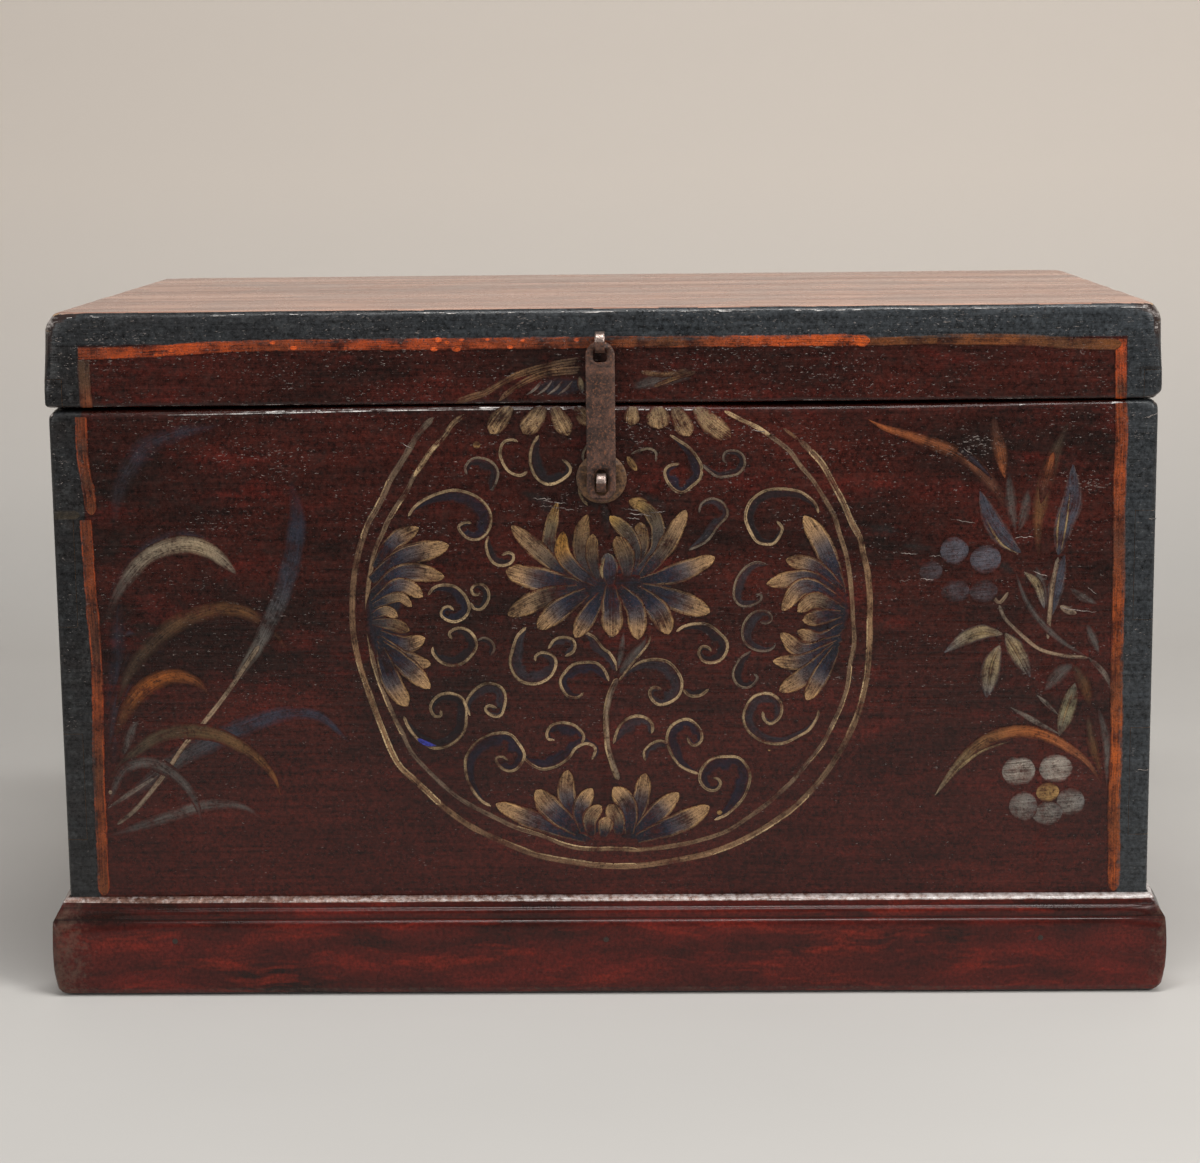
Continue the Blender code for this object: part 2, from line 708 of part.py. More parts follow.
def hinges(boards, rails):
    face_y = BACK_Y + FIT + LEAF_THICKNESS + FIT
    for hand, x in (("left", -HINGE_PLACE), ("right", HINGE_PLACE)):
        name = "hinge_" + hand
        body_leaf = hinge_leaf(name + "_body_leaf", x, BODY_LEAF_LENGTH, -1, None)
        lid_leaf = hinge_leaf(name + "_lid_leaf", x, LID_LEAF_LENGTH, 1, LID_PIVOT)
        hinge_pin(name + "_pin", x)
        for number, share in enumerate(NAIL_PLACES, start=1):
            low = (x, face_y, LID_AXIS.z - BODY_LEAF_LENGTH * share)
            high = (x, face_y, LID_AXIS.z + LID_LEAF_LENGTH * share)
            body_pieces = (body_leaf, boards["back_board"])
            lid_pieces = (lid_leaf, rails["lid_back_rail"])
            hinge_nail(name + "_body_nail_" + str(number), low, body_pieces, None)
            hinge_nail(name + "_lid_nail_" + str(number), high, lid_pieces, LID_PIVOT)


def split_eye(name, hole_radius, to_inside, place, pivot):
    """A strip bent into an eye, with both legs through the board and clinched on its inner face."""
    ring = hole_radius + EYE_THICKNESS / 2
    leg = (EYE_SLIT + EYE_THICKNESS) / 2
    neck = math.asin(leg / ring)
    bend = to_inside + FIT + EYE_THICKNESS / 2
    path = [Vector((bend, leg + EYE_CLINCH)), Vector((bend, leg))]
    path += arc((0.0, 0.0), ring, neck, 2 * math.pi - neck)
    path += [Vector((bend, -leg)), Vector((bend, -leg - EYE_CLINCH))]
    mesh = slab_mesh(name, bent_strip(path, EYE_THICKNESS), EYE_WIDTH, FACING_SIDE)
    return add_piece(name, mesh, place, IRON, pivot)


def eye_mortise(name, place, depth):
    """The slot that an eye's two legs pass through."""
    height = EYE_SLIT + 2 * EYE_THICKNESS + 2 * FIT
    mesh = box_mesh(name, (EYE_WIDTH + 2 * FIT, depth, height))
    return add_cutter(name, mesh, place)


def hasp_eye(lid_front):
    """The eye in the lid that the strap hangs on."""
    place = Vector((0.0, LID_EYE_Y, HASP_AXIS.z + LID_EYE_OFFSET))
    to_inside = FRONT_Y + LID_RAIL_THICKNESS - LID_EYE_Y
    split_eye("hasp_eye", LID_EYE_HOLE_RADIUS, to_inside, place, LID_PIVOT)
    middle = Vector((0.0, FRONT_Y + LID_RAIL_THICKNESS / 2, place.z))
    combine(lid_front, eye_mortise("hasp_eye_mortise", middle, 2 * LID_RAIL_THICKNESS))


def lock_plate_and_eye(front_board):
    """The round plate on the body and the eye through it, which the strap drops over."""
    plate_front = FRONT_Y - FIT - LOCK_PLATE_THICKNESS
    eye_y = plate_front - FIT - LOCK_EYE_RADIUS
    place = Vector((0.0, eye_y, LOCK_HEIGHT))
    to_inside = FRONT_Y + BOARD_THICKNESS - eye_y
    split_eye("lock_eye", LOCK_EYE_HOLE_RADIUS, to_inside, place, None)
    middle = Vector((0.0, FRONT_Y + BOARD_THICKNESS / 2, LOCK_HEIGHT))
    mortise = eye_mortise("lock_eye_mortise", middle, 2 * BOARD_THICKNESS)
    combine(front_board, mortise)
    mesh = rod_mesh("lock_plate", LOCK_PLATE_RADIUS, LOCK_PLATE_THICKNESS, PLATE_SIDES, FACING_FRONT)
    plate_place = (0.0, plate_front + LOCK_PLATE_THICKNESS / 2, LOCK_HEIGHT + LOCK_PLATE_RISE)
    plate = add_piece("lock_plate", mesh, plate_place, IRON)
    combine(plate, mortise)


def hasp_strap():
    """The strap, with its origin on the bar that turns in the lid's eye."""
    top = STRAP_BAR / 2
    radius = STRAP_WIDTH / 2 - ROUND_END_EASE
    outer = rounded_rectangle(STRAP_WIDTH, STRAP_LENGTH, radius, (0.0, top - STRAP_LENGTH / 2))
    hole_middle = -STRAP_BAR / 2 - STRAP_HOLE_HEIGHT / 2
    hole = rounded_rectangle(STRAP_HOLE_WIDTH, STRAP_HOLE_HEIGHT, STRAP_HOLE_CORNER, (0.0, hole_middle))
    slot_radius = SLOT_WIDTH / 2 - ROUND_END_EASE
    slot = rounded_rectangle(SLOT_WIDTH, SLOT_HEIGHT, slot_radius, (0.0, -SLOT_DROP))
    mesh = pierced_mesh("hasp_strap", [outer, hole, slot], STRAP_THICKNESS, FACING_FRONT)
    add_piece("hasp_strap", mesh, HASP_AXIS, IRON, HASP_PIVOT)


def build():
    boards = carcass()
    bottom_planks()
    rounding = plinth_corner_block()
    mouldings = {
        "front": plinth_front(rounding),
        "left": plinth_side("plinth_left", -1, rounding),
        "right": plinth_side("plinth_right", 1, rounding),
    }
    plinth_back()
    corner_blocks()
    plinth_pegs(mouldings, boards)
    rails = lid_rails()
    lid_pegs(lid_top(), rails)
    hinges(boards, rails)
    hasp_eye(rails["lid_front_rail"])
    lock_plate_and_eye(boards["front_board"])
    hasp_strap()


build()
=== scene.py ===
# %% [markdown]
# # A painted wooden trunk
# The trunk is a finger-jointed box of softwood boards on a moulded plinth, with a hinged lid and an iron
# hasp. Red-brown lacquer covers it, and a lotus roundel with two flower sprays is brushed on the front.
# The solid model gives every piece its place and size. This lesson loads that model, keeps it fixed, and
# then gives each piece the surface that the eye expects: worn edges, brush marks, rust and paint.

# %% Load the solid model as the fixed frame
import json
import math
import random
from collections import namedtuple

import bmesh
import bpy
from mathutils import Matrix, Vector, noise


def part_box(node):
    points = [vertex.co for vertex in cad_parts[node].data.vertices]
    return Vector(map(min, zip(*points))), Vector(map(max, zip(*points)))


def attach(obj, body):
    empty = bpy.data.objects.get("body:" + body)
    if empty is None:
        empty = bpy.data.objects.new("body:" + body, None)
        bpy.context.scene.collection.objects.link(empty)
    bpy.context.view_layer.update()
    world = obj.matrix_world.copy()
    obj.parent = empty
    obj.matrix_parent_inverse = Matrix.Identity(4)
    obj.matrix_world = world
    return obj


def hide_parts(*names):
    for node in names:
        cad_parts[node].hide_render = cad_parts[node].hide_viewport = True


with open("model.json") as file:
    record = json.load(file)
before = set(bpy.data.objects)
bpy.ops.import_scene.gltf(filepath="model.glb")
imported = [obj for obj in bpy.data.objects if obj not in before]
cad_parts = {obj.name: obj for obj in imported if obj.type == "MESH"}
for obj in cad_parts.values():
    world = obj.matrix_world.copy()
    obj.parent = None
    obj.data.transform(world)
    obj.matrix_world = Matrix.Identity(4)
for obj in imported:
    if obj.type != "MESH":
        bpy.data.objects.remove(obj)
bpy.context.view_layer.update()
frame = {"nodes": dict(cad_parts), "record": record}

NODES = frame["nodes"]
BODY_OF_NODE = {node: body for body, nodes in frame["record"]["behaviour"]["bodies"].items() for node in nodes}

# %% [markdown]
# ## Places taken from the solid model
# A painted line has to lie on the board that carries it. All places are therefore read from the solid
# pieces themselves, and a change of the model moves the paint with it.

# %% Read the main planes of the trunk
BOARD_LOW, BOARD_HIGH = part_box("front_board")
_, BACK_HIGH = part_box("back_board")
RAIL_LOW, RAIL_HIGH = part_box("lid_front_rail")
PLANK_LOW, PLANK_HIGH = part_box("lid_plank_front")
PLINTH_LOW, PLINTH_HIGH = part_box("plinth_front")
FRONT_Y = BOARD_LOW.y
BACK_Y = BACK_HIGH.y
RIM_Z = BOARD_HIGH.z
LID_FOOT_Z = RAIL_LOW.z
LID_TOP_Z = PLANK_HIGH.z
BODY_HALF = BOARD_HIGH.x
LID_HALF = PLANK_HIGH.x
MM = 0.001
print("front plane at", round(FRONT_Y, 4), "rim at", round(RIM_Z, 4), "lid top at", round(LID_TOP_Z, 4))

# %% [markdown]
# ## Camera
# The photograph was taken with a longish lens, from a little above the lid and almost straight ahead. A
# camera needs a place, a direction and a focal length. They were worked out from the corners of the lid,
# box and plinth, so that the edges of the model fall on the same edges in the picture.

# %% Set the camera
camera_data = bpy.data.cameras.new("camera")
camera_data.sensor_width = 36.0
camera_data.lens = 80.12
camera_data.clip_end = 50.0
camera = bpy.data.objects.new("camera", camera_data)
bpy.context.scene.collection.objects.link(camera)
TURN_LEFT = math.radians(1.285)
LOOK_DOWN = math.radians(9.608)
TILT = math.radians(-0.634)
CAMERA_PLACE = Matrix.Translation((0.0436, -2.2711, 0.6735))
aim = Matrix.Rotation(TURN_LEFT, 4, "Z") @ Matrix.Rotation(math.pi / 2 - LOOK_DOWN, 4, "X")
camera.matrix_world = CAMERA_PLACE @ aim @ Matrix.Rotation(TILT, 4, "Z")
bpy.context.scene.camera = camera
bpy.context.scene.view_settings.view_transform = "Standard"
print("camera looks down by", round(math.degrees(LOOK_DOWN), 1), "degrees")

# %% [markdown]
# ## Small helpers
# Paint colours are written as the sRGB hex values that a colour picker shows, and shaders work with
# linear light, so one function turns the one into the other. Another function adds a node with its
# settings and links. Its kind and choices are one text, which keeps the trees below short enough to read.


# %% Colours and nodes
def linear(hex_colour):
    """An sRGB hex colour as linear red, green, blue and an alpha of 1."""
    shares = [int(hex_colour[i:i + 2], 16) / 255 for i in (1, 3, 5)]
    return tuple(c / 12.92 if c <= 0.04045 else ((c + 0.055) / 1.055) ** 2.4 for c in shares) + (1.0,)


CHOICES = {
    "Math": ("operation",), "Mix": ("data_type", "blend_type"), "Attribute": ("attribute_name",),
    "GeometryNodeSetCurveNormal": ("mode",), "GeometryNodeStoreNamedAttribute": ("data_type", "domain"),
    "GeometryNodeInputNamedAttribute": ("data_type",),
}


def put(tree, kind, *values, **named):
    """Adds a node such as "Math ADD". Inputs come in order or by name: values, hex colours, nodes, sockets."""
    kind, *choices = kind.split()
    node = tree.nodes.new(kind if "Node" in kind else "ShaderNode" + kind)
    for setting, choice in zip(CHOICES.get(kind, ()), choices):
        setattr(node, setting, choice)
    sockets = [socket for socket in node.inputs if socket.enabled]
    by_name = {socket.name.lower().replace(" ", "_"): socket for socket in sockets}
    for socket, value in list(zip(sockets, values)) + [(by_name[name], value) for name, value in named.items()]:
        if isinstance(value, bpy.types.Node):
            value = next(out for out in value.outputs if out.enabled)
        if isinstance(value, bpy.types.NodeSocket):
            tree.links.new(value, socket)
        else:
            socket.default_value = linear(value) if str(value).startswith("#") else value
    return node


def new_material(name):
    """An empty material and its node tree."""
    made = bpy.data.materials.new(name)
    made.use_nodes = True
    made.node_tree.nodes.clear()
    return made, made.node_tree


def per_mm(size):
    """The noise scale, per metre, of a pattern whose parts are this many millimetres long."""
    return 1000.0 / size


print("cream paint in linear light:", [round(c, 3) for c in linear("#a38669")[:3]])

# %% [markdown]
# ## Floor and light
# A plain pale floor that sweeps up behind the trunk shows its outline and gives the lacquer something to
# reflect. A real studio does this with a roll of paper, and here it is one bent sheet. Large lamps make
# the light soft. The one on the right is stronger, as a window on that side would be. In front,
# out of the picture, the paper darkens as a painted shade, so that the lacquer mirrors little and keeps
# its depth.

# %% Floor, backdrop and lamps
HALF_WIDE, BEND_AT, BEND_RADIUS, WALL_TOP = 6.0, 1.2, 0.8, 5.0
bend = [math.radians(10 * i) for i in range(1, 10)]
sweep = [(-HALF_WIDE, 0.0), (BEND_AT, 0.0)]
sweep += [(BEND_AT + math.sin(a) * BEND_RADIUS, BEND_RADIUS - math.cos(a) * BEND_RADIUS) for a in bend]
sweep += [(BEND_AT + BEND_RADIUS, WALL_TOP)]
floor_points = [(x, y, z) for y, z in sweep for x in (-HALF_WIDE, HALF_WIDE)]
floor_faces = [(2 * i, 2 * i + 1, 2 * i + 3, 2 * i + 2) for i in range(len(sweep) - 1)]
floor_mesh = bpy.data.meshes.new("floor")
floor_mesh.from_pydata(floor_points, [], floor_faces)
floor_mesh.shade_smooth()
floor = bpy.data.objects.new("floor", floor_mesh)
bpy.context.scene.collection.objects.link(floor)
paper, tree = new_material("pale_paper")
fibre = put(tree, "TexNoise", scale=per_mm(40), detail=6.0)
tint = put(tree, "Mix RGBA", fibre, "#c4c2bf", "#cdcbc8")
place = put(tree, "SeparateXYZ", put(tree, "TexCoord").outputs["Object"])
upright = put(tree, "MapRange", place.outputs["Z"], 0.05, 0.6)
tint = put(tree, "Mix RGBA", upright, tint, "#dcd3ca")
# Painted shade: in front of the trunk, out of the picture, the paper turns dark grey.
near = put(tree, "MapRange", place.outputs["Y"], -0.95, -1.5)
tint = put(tree, "Mix RGBA", near, tint, "#2b2a29")
skin = put(tree, "BsdfPrincipled", base_color=tint, roughness=0.8)
# Seen from behind, the backdrop is left out, so that the trunk's back can be looked at.
behind = put(tree, "Math MULTIPLY", put(tree, "NewGeometry").outputs["Backfacing"],
             put(tree, "LightPath").outputs["Is Camera Ray"])
nothing = put(tree, "BsdfTransparent")
put(tree, "OutputMaterial", put(tree, "MixShader", behind, skin, nothing))
floor_mesh.materials.append(paper)

world = bpy.data.worlds.new("studio")
world.use_nodes = True
world.node_tree.nodes["Background"].inputs["Color"].default_value = (1.0, 0.98, 0.95, 1.0)
world.node_tree.nodes["Background"].inputs["Strength"].default_value = 0.24
bpy.context.scene.world = world

AIM = Vector((0.0, 0.0, 0.25))
LAMPS = (
    ("right_window", (2.6, -2.4, 2.0), (1.6, 1.6), 78.0, (1.0, 0.97, 0.93)),
    ("left_fill", (-2.6, -2.6, 1.6), (1.8, 1.8), 34.0, (1.0, 0.98, 0.96)),
    ("top_softbox", (0.3, -0.9, 2.6), (1.9, 0.35), 40.0, (1.0, 0.99, 0.97)),
)
for name, place, size, power, colour in LAMPS:
    lamp_data = bpy.data.lights.new(name, "AREA")
    lamp_data.shape = "RECTANGLE"
    lamp_data.size, lamp_data.size_y = size
    lamp_data.energy = power
    lamp_data.color = colour
    lamp = bpy.data.objects.new(name, lamp_data)
    lamp.location = place
    lamp.rotation_euler = (AIM - Vector(place)).to_track_quat("-Z", "Y").to_euler()
    bpy.context.scene.collection.objects.link(lamp)
print("lamps:", [name for name, *_ in LAMPS])

# %% [markdown]
# ## Old red-brown lacquer
# The ground is a thin lacquer over softwood: satin, uneven, and streaked along the boards where the brush
# went. It has darkened to umber in some places and stayed red in others. A dark blue-grey border runs
# along the ends of the boards and the top of the lid. One node group makes ground and border together,
# because the brushed paint needs the same ground wherever it has worn through.


# %% The lacquer as a node group
LID_LINE_Z, LINE_BLUR = 0.5148, 0.6 * MM


def lacquer_group(name, axis, border_at, middle=0.0):
    """Lacquer with a dark border where the place along the axis is further out than border_at, or high up."""
    group = bpy.data.node_groups.new(name, "ShaderNodeTree")
    for socket, kind in (("Colour", "Color"), ("Roughness", "Float"), ("Height", "Float")):
        group.interface.new_socket(socket, in_out="OUTPUT", socket_type="NodeSocket" + kind)
    where = put(group, "TexCoord").outputs["Object"]
    along = put(group, "Mapping", where, scale=(0.35, 0.35, 1.0))
    brushed = put(group, "Mapping", where, scale=(0.05, 0.05, 1.0))
    # Blotches of about 60 mm, darker and redder, longer along the board than across it.
    blotch = put(group, "TexNoise", along, per_mm(60), 5.0, 0.62)
    blotch_share = put(group, "MapRange", blotch, 0.36, 0.66)
    base = put(group, "Mix RGBA", blotch_share, "#20110e", "#431a14")
    red = put(group, "TexNoise", along, per_mm(24), 4.0, 0.7)
    red_share = put(group, "MapRange", red, 0.55, 0.8, to_max=0.5)
    base = put(group, "Mix RGBA", red_share, base, "#641f19")
    grime = put(group, "TexNoise", where, per_mm(9), 6.0, 0.7)
    grime_share = put(group, "MapRange", grime, 0.5, 0.75, to_max=0.5)
    base = put(group, "Mix RGBA", grime_share, base, "#251b17")
    # Brush streaks, about 2.6 mm apart and 50 mm long.
    streak = put(group, "TexNoise", brushed, per_mm(2.6), 3.0, 0.6)
    # The border: its edge wanders by a millimetre or two, as a brush does along a ruler.
    split = put(group, "SeparateXYZ", where)
    wander = put(group, "TexNoise", where, per_mm(30), 3.0)
    wobble = put(group, "Math MULTIPLY_ADD", wander, 0.003, -0.0015)
    centred = put(group, "Math SUBTRACT", split.outputs[axis], middle)
    outward = put(group, "Math ABSOLUTE", centred)
    ends = put(group, "Math ADD", outward, wobble)
    end_share = put(group, "MapRange", ends, border_at - LINE_BLUR, border_at + LINE_BLUR)
    height = put(group, "Math ADD", split.outputs["Z"], wobble)
    top_share = put(group, "MapRange", height, LID_LINE_Z - LINE_BLUR, LID_LINE_Z + LINE_BLUR)
    border = put(group, "Math MAXIMUM", end_share, top_share)
    border_tint = put(group, "Mix RGBA", red, "#1a2024", "#2b2624")
    border_tint = put(group, "Mix RGBA", grime_share, border_tint, "#474a4b")
    # The border is painted lighter towards the right, as painted light from that side, and lighter on the lid.
    right = put(group, "MapRange", split.outputs["X"], -0.3, 0.45, to_max=0.3)
    painted_light_and_lid_share = put(group, "Math MULTIPLY_ADD", top_share, 0.15, right)
    border_tint = put(group, "Mix RGBA", painted_light_and_lid_share, border_tint, "#454c52")
    base = put(group, "Mix RGBA", border, base, border_tint)
    # Low down, the lacquer is redder.
    low_share = put(group, "MapRange", split.outputs["Z"], 0.30, 0.08, to_max=0.5)
    plain = put(group, "Math SUBTRACT", 1.0, border)
    low_share = put(group, "Math MULTIPLY", low_share, plain)
    base = put(group, "Mix RGBA", low_share, base, "#43110b")
    grain = put(group, "TexNoise", where, per_mm(2.4), 4.0, 0.75)
    marks = put(group, "Math MULTIPLY_ADD", grain, 2.6, streak)
    gain = put(group, "MapRange", marks, 1.3, 2.35, 0.15, 1.7)
    colour = put(group, "Mix RGBA MULTIPLY", 1.0, base, gain)
    # The skin: brush ridges, and short raised flecks of 1 to 3 mm that catch the lamps. The flecks, more of
    # them higher up, are also painted pale: partly rubbed paint, partly painted glints.
    tilted = put(group, "Mapping", where, rotation=(0.0, 0.35, 0.0), scale=(0.5, 0.5, 1.4))
    fleck = put(group, "TexNoise", tilted, per_mm(1.4), 2.0, 0.5)
    patchy = put(group, "TexNoise", along, per_mm(26), 3.0, 0.6)
    cluster = put(group, "Math MULTIPLY_ADD", patchy, 0.28, fleck)
    cluster = put(group, "Math MULTIPLY_ADD", split.outputs["Z"], 0.14, cluster)
    glint_fleck_share = put(group, "MapRange", cluster, 0.885, 0.945)
    rubbed = put(group, "Math MULTIPLY", glint_fleck_share, 0.5)
    colour = put(group, "Mix RGBA", rubbed, colour, "#8d827c")
    ridges = put(group, "Math MULTIPLY_ADD", grain, 0.35, streak)
    skin_height = put(group, "Math MULTIPLY_ADD", glint_fleck_share, 0.5, ridges)
    gloss = put(group, "MapRange", grime, 0.3, 0.7, 0.20, 0.38)
    put(group, "NodeGroupOutput", colour=colour, roughness=gloss, height=skin_height)
    return group


FRONT_GROUND = lacquer_group("front_lacquer_ground", "X", 0.4000)
SIDE_GROUND = lacquer_group("side_lacquer_ground", "Y", 0.2160, (FRONT_Y + BACK_Y) / 2)
print("lacquer groups:", FRONT_GROUND.name, SIDE_GROUND.name)

# %% [markdown]
# ## Finishes of the wooden pieces
# Lacquered boards show the ground above, and where an edge has been rubbed, first a dark under-coat and
# then pale grey wood, which is painted paler still as painted glints. The rubbing is measured on the mesh
# and stored there as an attribute named wear, so it sits on the edges from every side. The top of the lid
# has lost most of its lacquer and shows the planks; their pale pink is partly a painted reflection of the
# pale backdrop. Inside, the softwood is bare. The plinth has its own, redder lacquer.


# %% Lacquered boards
def coat(tree, relief, strength, depth_mm, **looks):
    """Ends a material: a skin with these looks and a fine relief of this depth."""
    bump = put(tree, "Bump", strength=strength, distance=depth_mm * MM, height=relief)
    put(tree, "OutputMaterial", put(tree, "BsdfPrincipled", normal=bump, **looks))


def worn_away(tree, noise_node, strength):
    """The wear stored on the mesh, with its edge broken up by a noise."""
    wear = put(tree, "Attribute wear").outputs["Fac"]
    return put(tree, "Math ADD", put(tree, "Math MULTIPLY_ADD", noise_node, strength, -strength / 2), wear)


def lacquered(name, ground):
    """Satin lacquer on softwood: dark, streaky, glinting on its brush marks, worn through on the edges, with
    painted glints there.
    """
    made, tree = new_material(name)
    base = put(tree, "Group")
    base.node_tree = ground
    where = put(tree, "TexCoord").outputs["Object"]
    dashes = put(tree, "Mapping", where, scale=(0.3, 0.3, 1.0))
    chips = put(tree, "TexNoise", dashes, per_mm(5), 6.0, 0.75)
    rubbed = worn_away(tree, chips, 0.9)
    undercoat = put(tree, "MapRange", rubbed, 0.45, 0.62)
    # Painted highlight: where an edge is worn through, the colour goes to a pale grey that stands for bare wood
    # and for glints of the lamps.
    bare = put(tree, "MapRange", rubbed, 0.74, 0.86)
    colour = put(tree, "Mix RGBA", undercoat, base.outputs["Colour"], "#2f2422")
    colour = put(tree, "Mix RGBA", bare, colour, "#b5aeab")
    coat(tree, base.outputs["Height"], 0.6, 0.6, base_color=colour, roughness=base.outputs["Roughness"],
         ior=1.5, specular_ior_level=0.3)
    return made


FRONT_LACQUER = lacquered("red_brown_lacquer_front", FRONT_GROUND)
SIDE_LACQUER = lacquered("red_brown_lacquer_side", SIDE_GROUND)


# %% Plinth, worn top, bare wood and bamboo
def wood_like(name, dark, pale, grain_mm, gloss, worn_tint, stretch=(0.05, 0.6, 0.6), bump_mm=0.25,
              streak_tint=None, mottle=0.12, shine=0.5):
    """Wood under thin or no lacquer: long grain streaks, blotches, paler rubbed edges, and painted shade where
    the mesh stores it.
    """
    made, tree = new_material(name)
    where = put(tree, "TexCoord").outputs["Object"]
    warp = put(tree, "TexNoise", where, per_mm(120), 2.0)
    shifted = put(tree, "Mix VECTOR", 0.03, where, warp.outputs["Color"])
    grain_place = put(tree, "Mapping", shifted, scale=stretch)
    grain = put(tree, "TexNoise", grain_place, per_mm(grain_mm), 5.0, 0.65)
    blotch = put(tree, "TexNoise", where, per_mm(70), 4.0, 0.6)
    mixed = put(tree, "Math MULTIPLY_ADD", blotch, 0.6, -0.3)
    mixed = put(tree, "Math ADD", grain, mixed)
    share = put(tree, "MapRange", mixed, 0.3, 0.7)
    colour = put(tree, "Mix RGBA", share, dark, pale)
    if streak_tint:
        line_place = put(tree, "Mapping", shifted, scale=[0.4 * size for size in stretch])
        lines = put(tree, "TexNoise", line_place, per_mm(2.5), 3.0, 0.8)
        line_share = put(tree, "MapRange", lines, 0.54, 0.72, to_max=0.55)
        colour = put(tree, "Mix RGBA", line_share, colour, streak_tint)
    fleck = put(tree, "TexNoise", where, per_mm(2.8), 3.0, 0.7)
    gain = put(tree, "MapRange", fleck, 0.35, 0.65, 1 - mottle, 1 + mottle)
    colour = put(tree, "Mix RGBA MULTIPLY", 1.0, colour, gain)
    chips = put(tree, "TexNoise", where, per_mm(6), 6.0, 0.75)
    rubbed = worn_away(tree, chips, 0.9)
    rubbed = put(tree, "MapRange", rubbed, 0.45, 0.8)
    colour = put(tree, "Mix RGBA", rubbed, colour, worn_tint)
    # Painted shade: where the mesh stores it, in the plinth's grooves and along its foot, the colour darkens to
    # near-black.
    grime = put(tree, "Attribute grime").outputs["Fac"]
    colour = put(tree, "Mix RGBA", grime, colour, "#160e0c")
    relief = put(tree, "Math MULTIPLY_ADD", fleck, 0.6, grain)
    rough = put(tree, "MapRange", blotch, 0.3, 0.7, gloss - 0.08, gloss + 0.08)
    coat(tree, relief, 0.5, bump_mm, base_color=colour, roughness=rough, ior=1.5, specular_ior_level=shine)
    return made


ALONG, DEEP = (0.06, 0.4, 0.4), (0.4, 0.06, 0.4)
PLINTH_LACQUER, PLINTH_SIDE_LACQUER = (
    wood_like(name, "#230d09", "#551610", 9, 0.25, "#58453a", stretch, 0.25, "#7a2012", 0.4, 0.3)
    for name, stretch in (("red_plinth_lacquer", ALONG), ("red_plinth_lacquer_side", DEEP)))
# The ledge: rubbed lacquer whose near-white worn tint is a painted highlight.
WORN_LEDGE_WITH_HIGHLIGHT = wood_like(
    "worn_plinth_ledge", "#553a30", "#8c6e63", 6, 0.2, "#ece7e6", (0.1, 0.5, 0.5), 0.2, None, 0.5)
# The lid's top: worn lacquer on the planks, whose pale pink is in part a painted reflection of the pale
# backdrop.
WORN_TOP_AND_REFLECTION = wood_like(
    "worn_lacquer_on_planks", "#744738", "#bd9684", 14, 0.26, "#b39a8c", (0.02, 0.5, 0.5), 0.012, "#55291f", 0)
BARE_WOOD = wood_like("bare_softwood_along", "#7a5b40", "#a98560", 4, 0.7, "#b3977a")
BARE_WOOD_DEEP = wood_like("bare_softwood_deep", "#7a5b40", "#a98560", 4, 0.7, "#b3977a", (0.6, 0.05, 0.6))
BAMBOO = wood_like("dark_bamboo", "#1d1310", "#33231a", 1.5, 0.55, "#4a382b", (0.6, 0.6, 0.6))
print("wood finishes:", [m.name for m in (PLINTH_LACQUER, WORN_LEDGE_WITH_HIGHLIGHT, WORN_TOP_AND_REFLECTION, BARE_WOOD, BAMBOO)])

# %% [markdown]
# ## Worn boards
# Boards that have been handled for generations have no sharp edges. A bevel of one width would look
# machined, so each board is a copy of its solid, cut into strips near its edges, and every point is then
# drawn in to a box with rounded edges whose radius changes slowly along the edge. How far a point moved
# is stored as its wear.


# %% The rounded box that wear has left
CORNER_REACH, CHIP_REACH, END_REACH, RIM_REACH = 14 * MM, 12 * MM, 32 * MM, 30 * MM
RIM_WAVE, RIM_SHIFT, ROUND_FROM, ROUND_OVER, CHIP_HIGH = 0.55, 0.1, 12 * MM, 45 * MM, 10 * MM
LEFT_END_MM, RIGHT_END_MM, CHIP_MM, NOTHING = 11.0, 8.0, 6.0, 1e-7


def nearness(distance, reach):
    """1 at no distance, falling evenly to 0 at the reach."""
    return max(0.0, 1.0 - distance / reach)


def body_edge(point):
    """The rounding of the box's edges at a point, in metres, larger at the upper corners."""
    corner = nearness(BODY_HALF - abs(point.x), CORNER_REACH) * nearness(RIM_Z - point.z, CORNER_REACH)
    return (2.7 + 4.5 * corner + 1.2 * noise.noise(point * 22.0) + 0.6 * noise.noise(point * 70.0)) * MM


def lid_edge(point):
    """The lid is rounder on top, most at the ends of its top edge, and chipped at its lower right corner."""
    above_foot = point.z - LID_FOOT_Z
    high = min(max((above_foot - ROUND_FROM) / ROUND_OVER, 0.0), 1.0)
    ends = (LEFT_END_MM if point.x < 0 else RIGHT_END_MM) * nearness(LID_HALF - abs(point.x), END_REACH) * high
    chip = CHIP_MM * nearness(LID_HALF - point.x, CHIP_REACH) * nearness(above_foot, CHIP_HIGH)
    uneven = (1.0 + 0.9 * high) * noise.noise(point * 24.0) + 0.5 * noise.noise(point * 80.0)
    return (3.4 + 3.4 * high + ends + chip + uneven) * MM


ENVELOPES = {
    "chest": (Vector((-BODY_HALF, FRONT_Y, -1.0)), Vector((BODY_HALF, BACK_Y, RIM_Z)), body_edge),
    "lid": (Vector((-LID_HALF, FRONT_Y, LID_FOOT_Z)), Vector((LID_HALF, BACK_Y, LID_TOP_Z)), lid_edge),
}


def drawn_in(point, body):
    """The point on or in the worn box, and the direction that points out of it there."""
    low, high, edge = ENVELOPES[body]
    radius = edge(point)
    core = Vector([min(max(c, lo + radius), hi - radius) for c, lo, hi in zip(point, low, high)])
    out = point - core
    if out.length < NOTHING:
        return point.copy(), Vector((0.0, -1.0, 0.0))
    direction = out.normalized()
    if out.length > radius:
        return core + direction * radius, direction
    return point.copy(), direction


